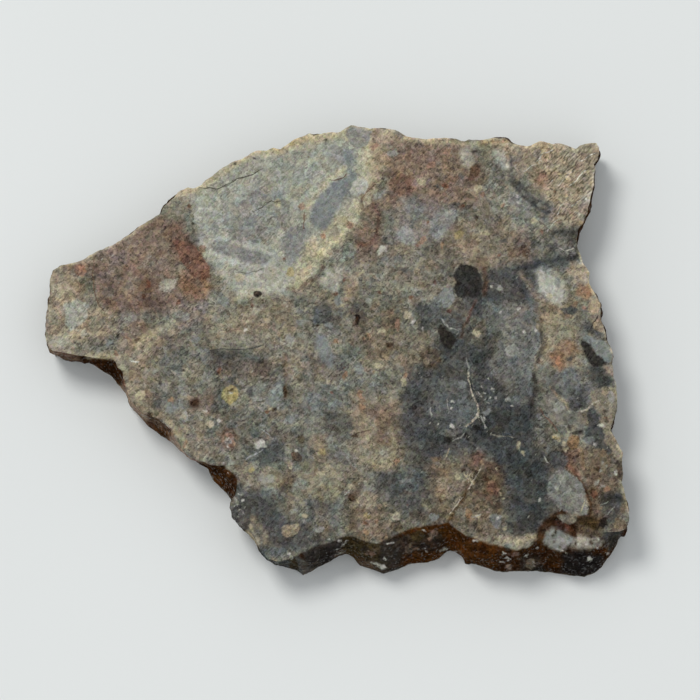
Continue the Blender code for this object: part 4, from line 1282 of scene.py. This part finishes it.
def colour_stone(mesh, rim, wall_count):
    """Writes the stone's colours, clast edges and veins onto its points. The wall's come first."""
    count = len(mesh.vertices)
    places, normals = np.empty(count * 3), np.empty(count * 3)
    mesh.vertices.foreach_get("co", places)
    mesh.vertices.foreach_get("normal", normals)
    places, normals = places.reshape(-1, 3), normals.reshape(-1, 3)

    # Where each point is seen, and how far it belongs to the front, a wall or the underside.
    seen = stray(photo_pixels(places), places, STRAYS, STRAY_SEED)
    above = places * (1, 1, 0) + (0, 0, THICKNESS)
    below = stray(photo_pixels(above), above, (UNDERSIDE_STRAY, *STRAYS), UNDERSIDE_STRAY_SEED)
    front = smoothstep(*FRONT_RANGE, normals @ VIEW)
    rim_gap, lit = rim_light(places, rim)
    wall = smoothstep(*WALL_START, rim_gap - HIDDEN_WALL_LAG * (1 - front))
    wall[wall_count:] = 0
    under = smoothstep(*UNDER_RANGE, -normals[:, 2]) * smoothstep(FOOT_FADE, 0, places[:, 2])

    ground = stone_ground(places, seen, below, front, wall, under)
    clasts, clast_edge, spots, spot_edge = stone_clasts(
        places, seen, below, wall * (1 - front), under
    )
    # A painted highlight: the rim's chips turn pale where they face back towards the lamp.
    for colours in (ground, clasts):
        colours += RIM_LIT_COVER * lit[:, None] * (np.array(KINDS[RIM_HIGHLIGHT_KIND]) - colours)
    ground, clasts, spots = linear(ground), linear(clasts), linear(spots)
    mottle(ground, places, 1.0)
    mottle(clasts, places, CLAST_MOTTLE)
    sawn = saw_marks(places, seen) * (1 - np.maximum(wall, under / UNDERSIDE_SAW_PART))
    # A darker line is painted along each crack.
    cracks = tuple((CRACK_KIND, CRACK_LINE_WIDTH, line) for line in CRACKS)
    veins, vein_across, vein_strength = vein_layer(seen, VEINS + cracks)
    vein_strength *= 1 - np.maximum(wall, under)

    colours = {"ground": ground, "clast": clasts, "spot": spots, "vein": linear(veins)}
    keep_on_points(mesh, "FLOAT_COLOR", "color", colours)
    values = {
        "clast_edge": clast_edge, "spot_edge": spot_edge, "vein_across": vein_across,
        "vein_strength": vein_strength, "wall": wall, "sawn": sawn,
    }
    keep_on_points(mesh, "FLOAT", "value", values)


class Graph:
    """The node tree of one material, built from small pieces that each return an output."""

    def __init__(self, name):
        self.material = bpy.data.materials.new(name)
        self.material.use_nodes = True
        self.tree = self.material.node_tree
        self.shader = self.tree.nodes["Principled BSDF"]

    def node(self, kind, inputs, output=0, **settings):
        made = self.tree.nodes.new("ShaderNode" + kind)
        for name, value in settings.items():
            setattr(made, name, value)
        for key, value in inputs.items():
            self.plug(made.inputs[key], value)
        return made.outputs[output]

    def plug(self, socket, value):
        if isinstance(value, bpy.types.NodeSocket):
            self.tree.links.new(value, socket)
        else:
            socket.default_value = value

    def surface(self, **inputs):
        """Sets the shader's inputs; an underscore stands for a space in their names."""
        for name, value in inputs.items():
            self.plug(self.shader.inputs[name.replace("_", " ")], value)

    def math(self, operation, a, b=0.0, c=0.0):
        return self.node("Math", {0: a, 1: b, 2: c}, operation=operation)

    def vector(self, operation, a, b, c=(0, 0, 0)):
        return self.node("VectorMath", {0: a, 1: b, 2: c}, operation=operation)

    def centred(self, value):
        """A value from 0 to 1 moved to lie evenly about zero."""
        return self.math("SUBTRACT", value, 0.5)

    def centred_colour(self, colour):
        return self.vector("SUBTRACT", colour, (0.5, 0.5, 0.5))

    def step(self, value, low, high, bottom=0.0, top=1.0):
        """A smooth rise of the value between two levels, from bottom to top."""
        return self.node(
            "MapRange",
            {"Value": value, "From Min": low, "From Max": high, "To Min": bottom, "To Max": top},
            interpolation_type="SMOOTHSTEP",
        )

    def mix(self, share, a, b):
        """Colour a with this share of colour b; the node's own inputs 6 and 7 are its colours."""
        return self.node("Mix", {0: share, 6: a, 7: b}, 2, data_type="RGBA")

    def attribute(self, name, output="Fac"):
        return self.node("Attribute", {}, output, attribute_name=name)

    def place(self):
        """Position on the object itself."""
        return self.node("TexCoord", {}, "Object")

    def noise(self, place, length, detail=2.0, output=0):
        inputs = {"Vector": place, "Scale": 1 / length, "Detail": detail}
        return self.node("TexNoise", inputs, output)

    def cells(self, place, length):
        """The distance from the middle of the cell round each place, and the cell's own colour."""
        colour = self.node("TexVoronoi", {"Vector": place, "Scale": 1 / length}, "Color")
        return colour.node.outputs["Distance"], colour

    def channel(self, colour, index):
        return self.node("SeparateColor", {0: colour}, index)


def rgb(kind):
    """A kind's colour as a material takes it."""
    return (*linear(np.array([KINDS[kind]], float))[0, :3], 1)


def strayed_place(graph):
    """Position on the stone, and the same pushed about so that no grain has a straight edge."""
    place = graph.place()
    push = graph.centred_colour(graph.noise(place, GRAIN_BEND_LENGTH, detail=1.0, output="Color"))
    return place, graph.vector("MULTIPLY_ADD", push, (GRAIN_BEND,) * 3, place)


def drawn_out(graph, place, stretch):
    """Place in which a texture comes out this much longer along the saw's path."""
    return graph.node(
        "Mapping", {"Vector": place, "Rotation": (0, 0, SAW_ANGLE), "Scale": (stretch, 1, 1)},
        vector_type="TEXTURE",
    )


def specks(graph, place, length, share, radius):
    """Scattered specks: 1 inside them. Only this share of the cells holds one."""
    distance, colour = graph.cells(place, length)
    holds = graph.step(graph.channel(colour, 1), 1 - share, 1 - share * SPECK_FULL)
    reach = graph.math("MULTIPLY", holds, radius / length)
    return graph.step(graph.math("SUBTRACT", reach, distance), 0.0, SPECK_EDGE)


def layered_colour(graph, ragged):
    """The ground, the clasts, the small grains and painted glints, the veins, and how strong the grain
    is.
    """
    colour = graph.attribute("ground", "Color")
    grain = graph.attribute("ground", "Alpha")
    for layer, cover in LAYER_COVER.items():
        edge = graph.math("ADD", graph.attribute(layer + "_edge"), ragged)
        share = graph.step(edge, -EDGE_SOFTNESS, EDGE_SOFTNESS)
        share = graph.math("MULTIPLY", share, cover)
        colour = graph.mix(share, colour, graph.attribute(layer, "Color"))
        lift = graph.math("SUBTRACT", graph.attribute(layer, "Alpha"), grain)
        grain = graph.math("MULTIPLY_ADD", share, lift, grain)
    across = graph.math("ABSOLUTE", graph.attribute("vein_across"))
    across = graph.math("MULTIPLY_ADD", ragged, VEIN_RAGGED, across)
    share = graph.step(across, *VEIN_EDGE, 0.0, VEIN_COVER)
    share = graph.math("MULTIPLY", share, graph.attribute("vein_strength"))
    return graph.mix(share, colour, graph.attribute("vein", "Color")), grain


def breccia_material():
    graph = Graph("breccia")
    place, strayed = strayed_place(graph)
    ragged = graph.math("MULTIPLY_ADD", graph.noise(place, RAGGED_LENGTH), 2 * RAGGED, -RAGGED)
    colour, grain = layered_colour(graph, ragged)

    # Saw marks, fine mottling and grains lighten and darken the colour; grains tint it too. The milk
    # specks laid on after are painted glints along the saw marks.
    sawn = graph.attribute("sawn")
    marks = graph.centred(graph.noise(drawn_out(graph, strayed, SAW_STRETCH), SAW_LENGTH))
    marks = graph.math("MULTIPLY", marks, sawn)
    fine = graph.centred(graph.noise(place, FINE_LENGTH, detail=1.0))
    tints = graph.centred_colour(graph.cells(strayed, GRAIN_LENGTH)[1])
    tone = graph.math("MULTIPLY", fine, FINE_TONE)
    tone = graph.math("MULTIPLY_ADD", marks, SAW_TONE, tone)
    tone = graph.math("MULTIPLY_ADD", graph.channel(tints, 0), GRAIN_TONE, tone)
    level = graph.math("MAXIMUM", graph.math("MULTIPLY_ADD", tone, grain, 1.0), DARKEST)
    shift = graph.vector("MULTIPLY_ADD", tints, (0, GRAIN_TINT, -GRAIN_TINT), (1, 1, 1))
    colour = graph.vector("MULTIPLY", colour, shift)
    colour = graph.node("VectorMath", {0: colour, "Scale": level}, operation="SCALE")
    for kind, length, share, radius, cover, stretch in SPECKS:
        spots = specks(graph, drawn_out(graph, strayed, stretch), length, share, radius)
        cover = graph.math("MULTIPLY_ADD", sawn, cover, cover / SPECK_OFF_SAWN)
        colour = graph.mix(graph.math("MULTIPLY", spots, cover), colour, rgb(kind))

    wall = graph.attribute("wall")
    sawn_gloss = graph.step(fine, *ROUGHNESS_RANGE, *SAWN_ROUGHNESS)
    wall_gloss = graph.step(fine, *ROUGHNESS_RANGE, *WALL_ROUGHNESS)
    lift = graph.math("SUBTRACT", wall_gloss, sawn_gloss)
    facets = graph.noise(place, RAGGED_LENGTH, detail=1.0)
    facets = graph.step(facets, *FACETS, 0.0, WALL_COAT)
    relief = {
        "Height": graph.math("ADD", marks, fine), "Distance": BUMP_DEPTH, "Strength": BUMP_STRENGTH
    }
    graph.surface(
        Base_Color=colour,
        Roughness=graph.math("MULTIPLY_ADD", wall, lift, sawn_gloss),
        Specular_IOR_Level=SPECULAR,
        Coat_Weight=graph.math("MULTIPLY", wall, facets),
        Coat_Roughness=COAT_ROUGHNESS,
        Normal=graph.node("Bump", relief),
    )
    return graph.material


def placed(name, data, material=None):
    """A new object in the scene."""
    made = bpy.data.objects.new(name, data)
    bpy.context.scene.collection.objects.link(made)
    if material:
        data.materials.append(material)
    return made


def make_stone():
    mesh, rim, wall_count = stone_mesh()
    colour_stone(mesh, rim, wall_count)
    stone = placed("breccia_slice", mesh, breccia_material())
    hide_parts(NODE)
    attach(stone, "root")


def floor_material():
    """Matte white board with the faintest unevenness."""
    graph = Graph("floor")
    cloud = graph.noise(graph.place(), FLOOR_CLOUD, detail=3.0)
    graph.surface(
        Base_Color=graph.mix(graph.step(cloud, *FLOOR_CLOUD_RANGE), *FLOOR_COLOURS),
        Roughness=FLOOR_ROUGHNESS,
        Specular_IOR_Level=FLOOR_SPECULAR,
    )
    return graph.material


def make_floor():
    mesh = bpy.data.meshes.new("floor")
    corners = [(x * FLOOR_HALF, y * FLOOR_HALF, 0) for x, y in ((-1, -1), (1, -1), (1, 1), (-1, 1))]
    mesh.from_pydata(corners, [], [(0, 1, 2, 3)])
    placed("floor", mesh, floor_material())


def make_camera():
    """Looks at the sawn face as the photograph does, from the front and high above."""
    camera = placed("camera", bpy.data.cameras.new("camera"))
    middle = PHOTO_SIZE / 2
    aim = Vector((*seen_at(middle, middle, THICKNESS), THICKNESS))
    away = Vector(VIEW)
    camera.location = aim + away * CAMERA_DISTANCE
    camera.rotation_euler = away.to_track_quat("Z", "Y").to_euler()
    camera.data.sensor_width = SENSOR_MM
    camera.data.lens = SENSOR_MM * CAMERA_DISTANCE / (PHOTO_SIZE * PIXEL)
    camera.data.clip_start = NEAREST_SHOWN
    bpy.context.scene.camera = camera


def make_lights():
    """One soft lamp from behind on the left, and an even pale sky."""
    light = placed("key", bpy.data.lights.new("key", "AREA"))
    light.data.shape = "DISK"
    light.data.size = LIGHT_SIZE
    light.data.energy = LIGHT_POWER
    light.data.color = LIGHT_COLOUR
    light.location = LIGHT_PLACE
    light.rotation_euler = Vector(LIGHT_PLACE).to_track_quat("Z", "Y").to_euler()
    world = bpy.data.worlds.new("studio")
    world.use_nodes = True
    background = world.node_tree.nodes["Background"]
    background.inputs["Color"].default_value = WORLD_COLOUR
    background.inputs["Strength"].default_value = WORLD_STRENGTH
    bpy.context.scene.world = world
    bpy.context.scene.view_settings.view_transform = "Standard"


make_stone()
make_floor()
make_camera()
make_lights()
